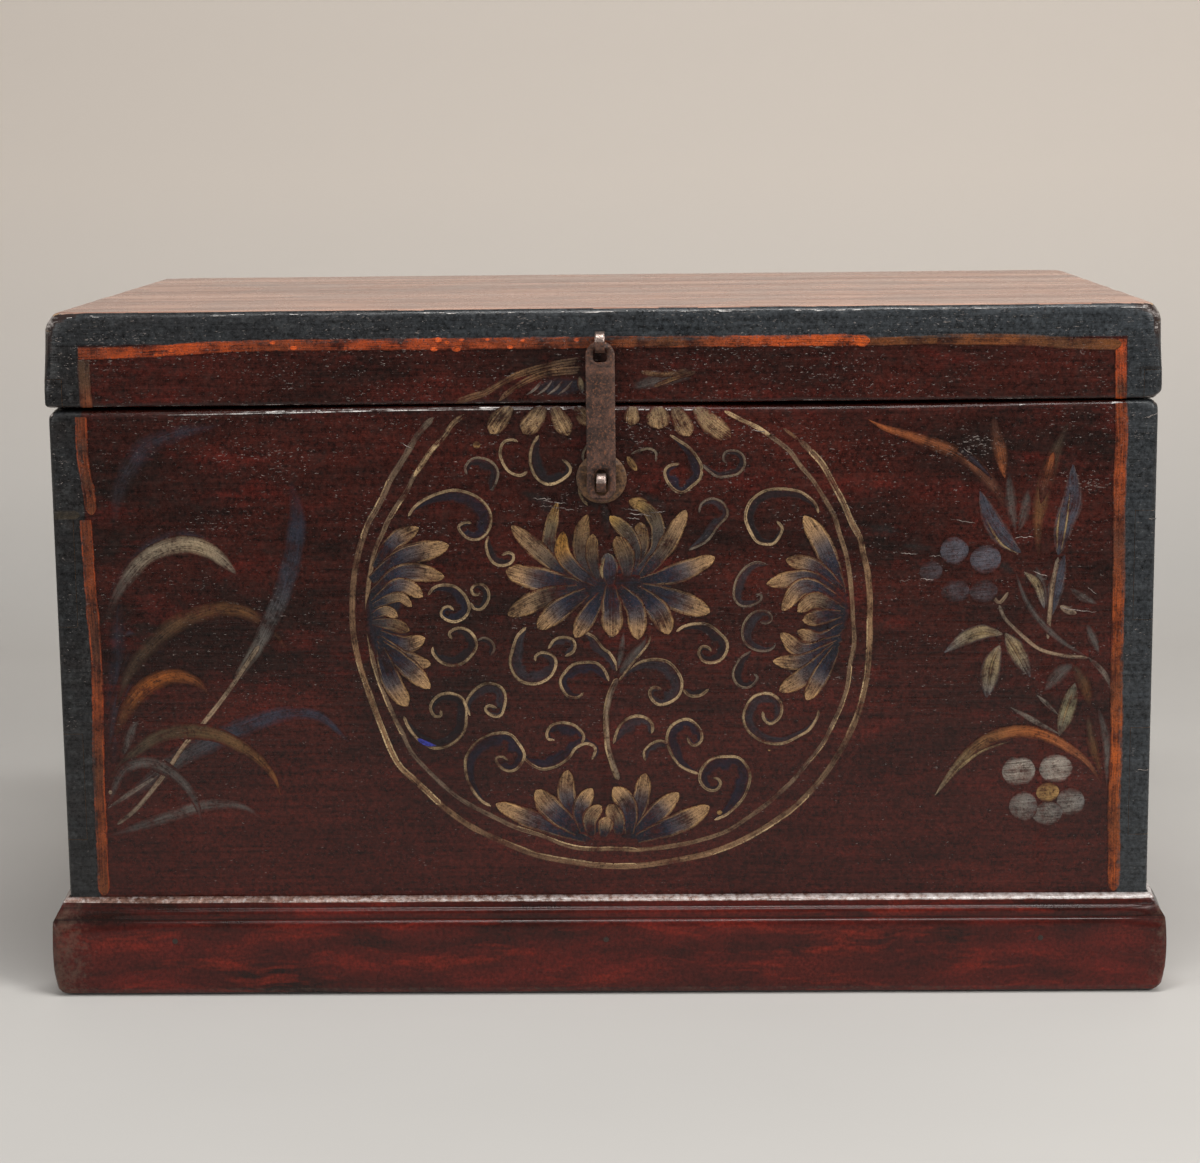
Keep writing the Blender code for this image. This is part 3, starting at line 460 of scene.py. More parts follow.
def sunk(point, body):
    """The box's front rim is worn down by up to 3.3 mm, most in its right half and near its left end."""
    if body != "chest":
        return point
    depth = 2.0 - 1.3 * math.cos(2 * math.pi * (point.x + RIM_SHIFT) / RIM_WAVE)
    depth *= nearness(RIM_Z - point.z, RIM_REACH) * nearness(point.y - FRONT_Y, RIM_REACH)
    return point - Vector((0.0, 0.0, depth * MM))


left_corner = Vector((-LID_HALF, FRONT_Y, LID_TOP_Z))
print("rounding of the lid's left front corner in mm:", round(lid_edge(left_corner) / MM, 1))


# %% Copy a solid, cut it into strips and wear it
WELD, FLAT, MARGIN = 2e-6, math.radians(0.6), 1e-4


def steps(start, end, spacing):
    """Places about a spacing apart between the start and the end."""
    count = max(1, round((end - start) / spacing))
    return [start + (end - start) * (i + 0.5) / count for i in range(count)]


def solid_copy(node):
    """The node's solid as a bmesh with its faces joined up again."""
    mesh = bmesh.new()
    mesh.from_mesh(NODES[node].data)
    bmesh.ops.remove_doubles(mesh, verts=mesh.verts, dist=WELD)
    bmesh.ops.dissolve_limit(mesh, angle_limit=FLAT, verts=mesh.verts, edges=mesh.edges)
    return mesh


def cut(mesh, axis, places, box=None):
    """Cuts the mesh across an axis at the places, or only at those that lie inside a box."""
    index = "XYZ".index(axis)
    normal = Vector((axis == "X", axis == "Y", axis == "Z"))
    for place in places:
        if box is None or box[0][index] + MARGIN < place < box[1][index] - MARGIN:
            parts = mesh.verts[:] + mesh.edges[:] + mesh.faces[:]
            bmesh.ops.bisect_plane(mesh, geom=parts, dist=WELD / 2, plane_co=normal * place, plane_no=normal)


def finished(mesh, name, node, materials, pick=None, sharp=38):
    """Turns the bmesh into the object that stands for the node, on the node's body."""
    data = bpy.data.meshes.new(name)
    mesh.normal_update()
    for material in materials:
        data.materials.append(material)
    if pick:
        for face in mesh.faces:
            face.material_index = materials.index(pick(face.calc_center_median(), face.normal))
    mesh.to_mesh(data)
    mesh.free()
    data.shade_smooth()
    data.set_sharp_from_angle(angle=math.radians(sharp))
    made = bpy.data.objects.new(name, data)
    bpy.context.scene.collection.objects.link(made)
    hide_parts(node)
    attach(made, BODY_OF_NODE[node])
    return made


EDGE_CUTS = [d * MM for d in (0.4, 1.0, 1.8, 2.8, 4.0, 6.0, 9.0, 13.0)]
BOARD_FINISHES = [FRONT_LACQUER, SIDE_LACQUER, WORN_TOP_AND_REFLECTION, BARE_WOOD, BARE_WOOD_DEEP]
STRIP, OUTSIDE, BARE_AT = 10 * MM, 8 * MM, 1.3 * MM
GROOVE_HIGH, GROOVE_DEEP, GROOVE_LIP = 4.5 * MM, 4.1 * MM, 1 * MM
FULL_WEAR, RIGHT_RIM_WEAR, RIGHT_FROM, MERGE = 0.75, 0.5, 30 * MM, 5e-6
TOP_DEEP, GAP_BELOW, GAP_ABOVE = 12 * MM, 5 * MM, 6 * MM
FACES_UP, FACES_SQUARELY, FACES_OUT = 0.9, 0.7, 0.3


def board_finish(centre, normal):
    """Lacquer on what shows outside and in the gap under the lid, planks on top, bare wood inside."""
    half = LID_HALF if centre.z > RIM_Z else BODY_HALF
    if centre.z > LID_TOP_Z - TOP_DEEP and normal.z > FACES_UP:
        return WORN_TOP_AND_REFLECTION
    in_gap = abs(normal.z) > FACES_SQUARELY and RIM_Z - GAP_BELOW < centre.z < LID_FOOT_Z + GAP_ABOVE
    in_front = centre.y < FRONT_Y + OUTSIDE and normal.y < -FACES_OUT
    at_back = centre.y > BACK_Y - OUTSIDE and normal.y > FACES_OUT
    if in_gap or in_front or at_back:
        return FRONT_LACQUER
    if abs(centre.x) > half - OUTSIDE and normal.x * centre.x > FACES_OUT * abs(centre.x):
        return SIDE_LACQUER
    return BARE_WOOD_DEEP if abs(normal.x) > FACES_SQUARELY else BARE_WOOD


def filled_up(point):
    """Old lacquer has filled the groove between the lid's rails and the planks, so the rails end square."""
    if RAIL_HIGH.z - GROOVE_HIGH < point.z < PLANK_LOW.z - 1e-5:
        for index, sides in ((0, (-LID_HALF, LID_HALF)), (1, (FRONT_Y, BACK_Y))):
            for side in sides:
                if abs(point[index] - side) < GROOVE_DEEP:
                    point[index] = side
        if point.z > RAIL_HIGH.z - GROOVE_LIP:
            point.z = PLANK_LOW.z
    return point


def worn_board(node, finishes=BOARD_FINISHES, pick=board_finish):
    """A copy of a board, rail or plank with its outer edges worn round."""
    body = BODY_OF_NODE[node]
    low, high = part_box(node)
    box_low, box_high, _ = ENVELOPES[body]
    mesh = solid_copy(node)
    cut(mesh, "X", steps(low.x, high.x, STRIP))
    cut(mesh, "Y", steps(low.y, high.y, STRIP))
    for index, axis in enumerate("XYZ"):
        near_edges = [box_low[index] + d for d in EDGE_CUTS] + [box_high[index] - d for d in EDGE_CUTS]
        cut(mesh, axis, near_edges, (low, high))
    wear = mesh.verts.layers.float.new("wear")
    for vert in mesh.verts:
        if node.endswith("_rail"):
            vert.co = filled_up(vert.co.copy())
        moved, _ = drawn_in(vert.co, body)
        # Right of the middle the box is worn less, so its edges show more under-coat and few painted glints.
        most = RIGHT_RIM_WEAR if body == "chest" and vert.co.x > RIGHT_FROM else FULL_WEAR
        vert[wear] = min(1.0, (vert.co - moved).length / BARE_AT) * most
        vert.co = sunk(moved, body)
    bmesh.ops.remove_doubles(mesh, verts=mesh.verts, dist=MERGE)
    return finished(mesh, "worn_" + node, node, finishes, pick)


BOARDS = [
    "front_board", "back_board", "left_side_board", "right_side_board", "lid_front_rail", "lid_back_rail",
    "lid_left_rail", "lid_right_rail", "lid_plank_front", "lid_plank_rear",
]
worn_boards = [worn_board(node) for node in BOARDS]
for node in (name for name in NODES if name.startswith("lid_peg")):
    worn_board(node, [BAMBOO], None)
print("faces of the worn boards:", [len(board.data.polygons) for board in worn_boards])

# %% [markdown]
# ## Brush paint
# The decoration is brushed with opaque distemper: one pull of a loaded brush for each petal, line and
# leaf. Every pull is therefore one ribbon that follows its path, wide where the brush was pressed and
# narrow where it was lifted. A picture texture would need an image, and ribbons need only the path. The
# ribbon carries its colour, so one material serves them all: it breaks the paint into bristle streaks,
# thins it towards the edges and lets the lacquer show where it has flaked.


# %% The paint material
def brush_paint():
    """Matt distemper on lacquer: bristle streaks along the stroke, a ragged edge, flaked specks."""
    made, tree = new_material("brushed_distemper")
    ground = put(tree, "Group")
    ground.node_tree = FRONT_GROUND
    where = put(tree, "TexCoord").outputs["Object"]
    paint = put(tree, "Attribute paint")
    rim = put(tree, "Attribute rim")
    across = put(tree, "Attribute across").outputs["Fac"]
    run = put(tree, "Attribute run").outputs["Fac"]
    width = put(tree, "Attribute half_width").outputs["Fac"]
    style = put(tree, "Attribute style")
    soft = style.outputs["Alpha"]
    fade, dry, seed = put(tree, "SeparateXYZ", style.outputs["Vector"]).outputs
    # Bristle streaks: 0.9 mm apart across the stroke and about 25 mm long.
    side = put(tree, "Math MULTIPLY", across, width)
    side = put(tree, "Math MULTIPLY", side, per_mm(0.9))
    length = put(tree, "Math MULTIPLY", run, per_mm(25))
    brush_place = put(tree, "CombineXYZ", length, side, seed)
    bristle = put(tree, "TexNoise", brush_place, 1.0, 3.0, 0.65)
    patch = put(tree, "TexNoise", where, per_mm(16), 4.0, 0.65)
    grit = put(tree, "TexNoise", where, per_mm(1.9), 4.0, 0.75)
    # Cover: strong in the middle, ragged or soft at the edge, fading to one side for a wash.
    outward = put(tree, "Math ABSOLUTE", across)
    ragged = put(tree, "Math MULTIPLY_ADD", grit, 0.5, outward)
    full_to = put(tree, "Math MULTIPLY_ADD", soft, -0.85, 1.05)
    edge = put(tree, "MapRange", ragged, full_to, 1.22, 1.0, 0.0)
    one_side = put(tree, "MapRange", across, -0.9, 0.95, 0.0, 1.0)
    thinned = put(tree, "Math MULTIPLY", one_side, fade)
    washed = put(tree, "Math SUBTRACT", 1.0, thinned)
    uneven = put(tree, "Math MULTIPLY_ADD", bristle, 0.5, patch)
    gaps = put(tree, "MapRange", uneven, 0.58, 0.80, 1.0, 0.0)
    flaked = put(tree, "MapRange", grit, 0.52, 0.62)
    worn = put(tree, "Math MAXIMUM", gaps, flaked)
    worn = put(tree, "Math MULTIPLY", worn, dry)
    solid = put(tree, "Math SUBTRACT", 1.0, worn)
    share = paint.outputs["Alpha"]
    for factor in (edge, washed, solid):
        share = put(tree, "Math MULTIPLY", share, factor)
    # Colour: the stroke's own, its rim, lighter and darker bristles.
    rim_edge = put(tree, "Math MULTIPLY_ADD", bristle, 0.5, outward)
    rim_share = put(tree, "MapRange", rim_edge, 0.92, 1.12)
    rim_share = put(tree, "Math MULTIPLY", rim_share, rim.outputs["Alpha"])
    colour = put(tree, "Mix RGBA", rim_share, paint.outputs["Color"], rim.outputs["Color"])
    stipple = put(tree, "Math MULTIPLY_ADD", bristle, 0.55, grit)
    stipple = put(tree, "Math MULTIPLY_ADD", patch, 0.5, stipple)
    gain = put(tree, "MapRange", stipple, 0.82, 1.24, 0.12, 2.2)
    colour = put(tree, "Mix RGBA MULTIPLY", 1.0, colour, gain)
    colour = put(tree, "Mix RGBA", share, ground.outputs["Colour"], colour)
    rough = put(tree, "Mix", share, ground.outputs["Roughness"], 0.5)
    relief = put(tree, "Math MULTIPLY_ADD", bristle, 0.3, share)
    relief = put(tree, "Math MULTIPLY_ADD", relief, 0.6, ground.outputs["Height"])
    coat(tree, relief, 0.5, 0.5, base_color=colour, roughness=rough, ior=1.5, specular_ior_level=0.3)
    return made


DISTEMPER = brush_paint()
print("paint material:", DISTEMPER.name)

# %% [markdown]
# ## How a pull of the brush is described
# A stroke is a list of places, a half width and the name of a paint. The paint says how the width swells
# along the stroke, how well it covers, how dry the brush was and which colours it carried from its start
# to its end. Some paints also have soft edges, fade to one side or at their ends, or dry to a paler rim. A
# curve through the places is sampled every two millimetres, and each sample carries its width and colours.

# %% Paints on the palette
Paint = namedtuple("Paint", "shape cover dry colours soft fade ends rim rim_share",
                   defaults=(0.1, 0.0, (0.0, 0.0), "#000000", 0.0))
PAINTS = {
    # Gold and grey-gold lines, drawn with a thin brush that ran dry and was loaded again.
    "ring": Paint("line", 0.95, 0.7, "#4d4136 #634a35 #7c5f43 #584230 #755a41 #52402f #7a5e43 #5a4432"),
    # Pale broken lines on the ring are a painted highlight on the raised edges of its paint.
    "ring_edge": Paint("line", 0.9, 1.0, "#a58a66 #7d664a #b39a74 #8a7152 #a98f6a"),
    "ring_inner": Paint("line", 0.9, 0.75, "#4c4035 #6f5840 #54463a #6e563e #5a4a3b #745c43 #544637"),
    "ring_faint": Paint("line", 0.75, 0.9, "#5f4630 #77593a #4c3a2b", soft=0.4),
    "line": Paint("line", 0.97, 0.85, "#8e775a #68573f #978060 #6c5a43"),
    "line_grey": Paint("line", 0.85, 0.8, "#5a5147 #6a5c49 #4f473f", soft=0.2),
    "stem": Paint("line", 0.85, 0.6, "#5d5348 #86715a #6a5c4c", soft=0.3),
    "rib": Paint("blade", 0.85, 0.6, "#6f6048 #84714f #635541", soft=0.3),
    # Thin washes beside the scrolls, strongest at the line and fading inwards.
    "wash_dark": Paint("wash", 0.94, 0.2, "#111014 #0f0e12", soft=0.35, fade=0.3),
    "wash_blue": Paint("wash", 0.96, 0.2, "#101220 #0f101a", soft=0.35, fade=0.3),
    "wash_grey": Paint("wash", 0.92, 0.3, "#232227 #1d1c22", soft=0.35, fade=0.35),
    # Lotus petals: blue-black at the base, stippled tan at the tip, a thin gold rim.
    "petal": Paint("petal", 0.97, 0.75, "#0e1017 #11141f #181c2a #484040 #876a4c #90714d", rim="#b08a58",
                   rim_share=0.8),
    "petal_tan": Paint("petal", 0.96, 0.8, "#111319 #191b24 #5a4a39 #7f6448 #896b49", rim="#a98453",
                       rim_share=0.7),
    "petal_gold": Paint("petal", 0.95, 0.6, "#1a1c24 #24252e #383434 #835d2b #9c7030", rim="#a98048",
                        rim_share=0.6),
    "petal_brown": Paint("petal", 0.9, 0.75, "#202024 #2e2a29 #5a4630 #775a38", rim="#957346", rim_share=0.6),
    "petal_dark": Paint("petal", 0.93, 0.75, "#1f2027 #2d2a2a #3c3530 #544733 #94723a", rim="#a9875a",
                        rim_share=0.8),
    "petal_blue": Paint("petal", 0.94, 0.6, "#171922 #20232e #2b2d38 #4a4645", rim="#95805f", rim_share=0.6),
    "petal_rim": Paint("petal", 0.93, 0.95, "#5c4c3a #7a6347 #8b7050 #866a48", soft=0.25),
    "blue_mass": Paint("blade", 0.96, 0.35, "#0f1117 #14161f #101219", soft=0.35),
    # Damage: charred patches, lifting flakes and the open joint of the lid. The glint paint is a painted
    # highlight along the worn edges.
    "char": Paint("blade", 0.8, 0.6, "#15100e #110d0c #15100e", soft=0.8, ends=(0.25, 0.25)),
    "flake": Paint("line", 0.85, 1.0, "#857a73 #9a908a #7d736d", soft=0.3),
    "glint": Paint("line", 0.95, 1.0, "#a8a4a2 #d2cfcd #98928f #c9c6c4", soft=0.15),
    "crack": Paint("line", 0.9, 0.3, "#0b0909 #0e0b0b"),
    # Leaves, grass, berries and flowers of the two sprays, in thin paint with soft edges.
    "smear": Paint("blade", 0.6, 0.5, "#1d1c22 #1f212c #1d1c22", soft=0.9, ends=(0.3, 0.3)),
    "blade_blue": Paint("blade", 0.6, 0.6, "#231d1f #25252f #272935", soft=0.8, ends=(0.2, 0.25)),
    "leaf_blue": Paint("blade", 0.88, 0.7, "#2e3038 #383b45 #2c2e37", soft=0.3, rim="#7a7068", rim_share=0.5),
    "leaf_long": Paint("blade", 0.92, 0.5, "#2b282b #3a3634 #24252d #262834 #1d1e28", soft=0.5,
                       ends=(0.2, 0.08)),
    "arch_cream": Paint("petal", 0.88, 0.55, "#2d2929 #4a433c #7a6d5b #87775f #5e544a", soft=0.35,
                        ends=(0.3, 0.02)),
    "leaf_cream": Paint("blade", 0.92, 0.7, "#5e5447 #7e6d50 #6a5f4e #46454a", soft=0.25, rim="#3d3e43",
                        rim_share=0.85),
    "leaf_green": Paint("blade", 0.9, 0.7, "#48463f #6e664d #4a4741", soft=0.3, rim="#8f8060", rim_share=0.5),
    "blade_olive": Paint("blade", 0.82, 0.55, "#2c221b #3f2e1e #58391d #482f1e", soft=0.7, ends=(0.15, 0.3)),
    "blade_rust": Paint("blade", 0.85, 0.55, "#33241a #5e3718 #824618 #6e3c18 #482b1c", soft=0.6,
                        ends=(0.25, 0.2)),
    "blade_orange": Paint("blade", 0.8, 0.6, "#8a4a24 #6f3d20 #502f20 #3c271f", soft=0.6, ends=(0.03, 0.35)),
    "arch_orange": Paint("blade", 0.88, 0.5, "#7d6e58 #5c4c34 #6a4426 #874a22 #77452a #4f3322", soft=0.35,
                         ends=(0.02, 0.15)),
    "arch_olive": Paint("blade", 0.86, 0.5, "#2b241d #372e22 #473924 #573c22 #6b401f", soft=0.45,
                        ends=(0.2, 0.05)),
    "blade_grey": Paint("blade", 0.8, 0.6, "#302c2b #4a4642 #3a3634", soft=0.65, ends=(0.15, 0.15)),
    "thin_grey": Paint("blade", 0.8, 0.55, "#4f4943 #685f56 #564f48", soft=0.35),
    "bud": Paint("petal", 0.93, 0.55, "#5a5349 #474340 #26262e #1b1d28 #191b26", soft=0.4, ends=(0.05, 0.25)),
    "berry": Paint("dab", 0.9, 0.85, "#38363d #4c4a52 #3c3b43", soft=0.3, rim="#5c5961", rim_share=0.5),
    "berry_dim": Paint("dab", 0.8, 0.6, "#322d30 #403c41 #352f34", soft=0.4),
    "flower": Paint("dab", 0.95, 0.8, "#5e5852 #857c72 #706962", soft=0.2, rim="#98918a", rim_share=0.5),
    "flower_dim": Paint("dab", 0.92, 0.8, "#4d4743 #68625c #55514f", soft=0.25, rim="#7f7871", rim_share=0.4),
    "gold_dab": Paint("dab", 0.95, 0.5, "#6f5534 #87693f", soft=0.2),
    "cream_dab": Paint("dab", 0.85, 0.6, "#7a6a58 #6b5d4e", soft=0.3),
    "bright_blue": Paint("wash", 0.95, 0.3, "#2c3382 #333b96 #2a2f70", soft=0.2),
    # The border line: orange, patchy, pulled along a ruler.
    "stripe": Paint("stripe", 0.95, 0.75, "#6e2f10 #863a12 #4f2917 #934213 #5c2f16 #974716 #6a3516 #863c12"),
    "stripe_left": Paint("stripe", 0.92, 0.8, "#552711 #6a3014 #412518 #743414 #4c2a18 #6e3315 #562e16",
                         rim="#ad440f", rim_share=0.6),
    "stripe_lid": Paint("stripe", 0.95, 0.85,
                        "#6a2b0e #a34012 #6f3012 #8e3710 #843613 #6a3013 #563017 #a04113 #b04b15",
                        rim="#b4480f", rim_share=0.4),
    "stripe_blob": Paint("dab", 0.95, 0.7, "#b8481a #c9561e #b04416", soft=0.25),
    "stripe_dull": Paint("stripe", 0.88, 0.7, "#542e14 #6e3b16 #503017 #663a17"),
    "stripe_turn": Paint("stripe", 0.9, 0.6, "#30271c #48301f #7a3a1c"),
    "stripe_olive": Paint("stripe", 0.75, 0.5, "#2e281d #332a1e"),
}
print("paints:", len(PAINTS))


# %% Sample a stroke
READ_SCALE, READ_SHIFT = (0.996, 0.997), (1.0, 0.2)
SPACING, DAB_SPACING, FEWEST_SPANS, CURVE_STEPS = 2.0, 0.8, 8, 12
UNEVEN, DAB_UNEVEN, UNEVEN_MM = 0.14, 0.16, 9
FIRST_LIFT_MM, LAYER_LIFT_MM, RUN_LIFT_MM = 0.05, 0.0025, 0.01
WIDEST_IN_BEND, WIDEST_BESIDE_BEND, LOOK_AROUND = 0.85, 0.4, 3


def rows(table, columns):
    """The rows of a table written as text, cut after some columns. Indented lines carry on the row above."""
    return [row.split(maxsplit=columns) for row in table.strip().replace("\n    ", " ").splitlines()]


def places(text):
    """Places written as "x,z x,z ...", read from a flattened view, as millimetres on the front plane."""
    made = []
    for pair in text.split():
        numbers = [float(number) for number in pair.split(",")]
        made.append(Vector([n * scale + shift for n, scale, shift in zip(numbers, READ_SCALE, READ_SHIFT)]))
    return made


def through(points, spacing=SPACING):
    """Evenly spaced places on a smooth curve through the points."""
    ends = [2 * points[0] - points[1]] + points + [2 * points[-1] - points[-2]]
    fine = []
    for a, b, c, d in zip(ends, ends[1:], ends[2:], ends[3:]):
        for i in range(CURVE_STEPS):
            t = i / CURVE_STEPS
            fine.append(0.5 * (2 * b + (c - a) * t + (2 * a - 5 * b + 4 * c - d) * t ** 2
                               + (3 * b - a - 3 * c + d) * t ** 3))
    fine.append(points[-1])
    walked = [0.0]
    for a, b in zip(fine, fine[1:]):
        walked.append(walked[-1] + (b - a).length)
    count = max(FEWEST_SPANS, round(walked[-1] / spacing))
    made, place = [], 0
    for i in range(count + 1):
        goal = walked[-1] * i / count
        while place < len(fine) - 2 and walked[place + 1] < goal:
            place += 1
        span = max(walked[place + 1] - walked[place], 1e-9)
        made.append(fine[place].lerp(fine[place + 1], (goal - walked[place]) / span))
    return made, walked[-1]


def swell(shape, t, length, half):
    """The share of the full width at the place t, from 0 at the start to 1 at the end."""
    if shape == "petal":
        rise = 0.42 + 0.58 * math.sin(min(t / 0.62, 1.0) * math.pi / 2)
        return max(0.08, rise * max(0.0, 1 - max(0.0, (t - 0.55) / 0.45) ** 2.6) ** 0.6)
    if shape == "blade":
        return max(0.08, math.sin(math.pi * t ** 0.9) ** 0.75)
    if shape == "wash":
        return max(0.05, math.sin(math.pi * t ** 0.8) ** 0.8)
    if shape == "dab":
        return max(0.05, (1 - (2 * t - 1) ** 2) ** 0.5)
    if shape == "stripe":
        return min(1.0, ((1 - t) * length / half + 0.05) ** 0.5)
    near_end = min(t, 1 - t) * length / half
    return max(0.25, min(1.0, (near_end * 0.6) ** 0.5))


def blended(colours, t):
    """A colour between the paint's colours, which are spread evenly along the stroke."""
    place = min(t * (len(colours) - 1), len(colours) - 1.001)
    a, b = linear(colours[int(place)]), linear(colours[int(place) + 1])
    return [p + (q - p) * (place % 1) for p, q in zip(a, b)]


def tightest_bend(points, place):
    """The smallest radius of the curve within a few samples of a place, in millimetres."""
    radius = 1e3
    for i in range(max(place - LOOK_AROUND, 1), min(place + LOOK_AROUND + 1, len(points) - 1)):
        back, onward = points[i] - points[i - 1], points[i + 1] - points[i]
        radius = min(radius, back.length / (abs(back.angle_signed(onward, 0.0)) + 1e-6))
    return radius


SAMPLES = {"chest": [], "lid": []}


def pull(paint, path, half, offset=0.0, body="chest", layer=None):
    """Adds a stroke, on top unless a layer is given. An offset of 1 lays it along the left side of its path."""
    look = PAINTS[paint]
    is_dab, is_petal = look.shape == "dab", look.shape == "petal"
    points = places(path) if isinstance(path, str) else path
    points, length = through(points, DAB_SPACING if is_dab else SPACING)
    seed = 3.7 * len(SAMPLES[body])
    layer = len(SAMPLES[body]) if layer is None else layer
    fade_in, fade_out = look.ends
    stroke, run = [], 0.0
    for i, point in enumerate(points):
        t = i / (len(points) - 1)
        run += (point - points[i - 1]).length if i else 0.0
        width = half * swell(look.shape, t, length, half)
        width *= 1 + (DAB_UNEVEN if is_dab else UNEVEN) * noise.noise(Vector((run / UNEVEN_MM, seed, 0.0)))
        width = min(width, (WIDEST_BESIDE_BEND if offset else WIDEST_IN_BEND) * tightest_bend(points, i))
        ahead = (points[min(i + 2, len(points) - 1)] - points[max(i - 2, 0)]).normalized()
        place = point + Vector((-ahead.y, ahead.x)) * (offset * width)
        lift = FIRST_LIFT_MM + LAYER_LIFT_MM * layer + RUN_LIFT_MM * t
        cover = look.cover * min(1.0, (t + 0.02) / (fade_in + 0.01), (1.02 - t) / (fade_out + 0.01))
        colour = blended(look.colours.split(), t)[:3] + [cover]
        rim_share = look.rim_share * (0.2 + 0.8 * t if is_petal else 1.0)
        rim = list(linear(look.rim))[:3] + [rim_share]
        stroke.append((place, lift, width, run, colour, rim, (look.fade, look.dry, seed, look.soft)))
    SAMPLES[body].append(stroke)


print("a stroke of 20 mm has", len(through(places("0,0 20,0"))[0]), "samples")

# %% [markdown]
# ## The roundel
# Two rings drawn freehand enclose a full lotus in the middle, half lotuses at the four sides and scrolls
# between them. The painter laid a thin blue-black wash along the inside of most scrolls and then drew the
# gold line, so the wash comes first here too. The ring was painted across the closed lid and the box, so
# its top has to be drawn on the lid.

# %% Rings
OUTER_RING = """
    -130,459 -141,447 -148,436 -156,423 -164,411 -169,400 -176,387 -182,377 -187,364 -191,351 -194,336
    -196,314 -196,291 -193,271 -186,246 -176,216 -164,187 -149,171 -131,153 -109,136 -84,123 -58,112 -31,106
    -1,102 24,102 52,106 81,112 104,121 124,132 144,146 159,160 175,180 189,204 198,226 204,253 206,279 206,300
    206,317 204,336 201,349 198,363 192,374 185,390 176,407 169,420 159,431 151,439"""
INNER_RING = """
    -106,461 -115,454 -122,444 -132,433 -139,423 -146,413 -152,401 -159,391 -166,380 -172,367 -177,356
    -181,340 -184,321 -184,300 -182,274 -178,256 -172,239 -166,224 -159,209 -152,194 -139,179 -126,166 -112,155
    -92,144 -72,134 -51,127 -32,119 -15,116 5,116 24,115 52,118 75,123 95,130 112,141 129,154 146,170 159,186
    170,200 177,214 184,230 189,246 191,263 194,280 193,300 192,317 190,336 187,351 182,367 178,380 169,396
    162,407 152,419 144,430 132,440 119,450 106,457 94,464"""
pull("ring", OUTER_RING, 2.6)
pull("ring_faint", "151,439 145,444 139,449", 1.6)
pull("ring_inner", INNER_RING, 2.0)
# Painted highlight: pale lines on the raised edges of the ring paint, broad at the ends of the inner ring, thin
# along stretches of both rings.
pull("ring_edge", places(INNER_RING)[:6], 2.1)
pull("ring_edge", places(INNER_RING)[-6:], 2.0)
RING_EDGE_HIGHLIGHTS = {
    OUTER_RING: ((4, 9, -3.2), (13, 19, -3.0), (14, 19, 3.0), (20, 25, 3.2), (26, 31, -3.0), (32, 37, 3.2),
                 (39, 46, -3.0), (40, 46, 3.0)),
    INNER_RING: ((6, 9, 2.4), (13, 19, -2.2), (24, 30, 2.2), (36, 42, -2.2)),
}
for ring, edges in RING_EDGE_HIGHLIGHTS.items():
    for first, last, offset in edges:
        pull("ring_edge", places(ring)[first:last], 0.6, offset)
for rise, half in ((-2.0, 1.2), (0.0, 1.5), (2.2, 1.1)):
    for path in ("-112,470 -100,474 -88,478 -66,490 -37,498 -19,501", "-78,473 -60,485 -40,492 -17,494"):
        shifted = [place + Vector((0.6 * rise, rise)) for place in places(path)]
        pull("ring_faint", shifted, half, body="lid")

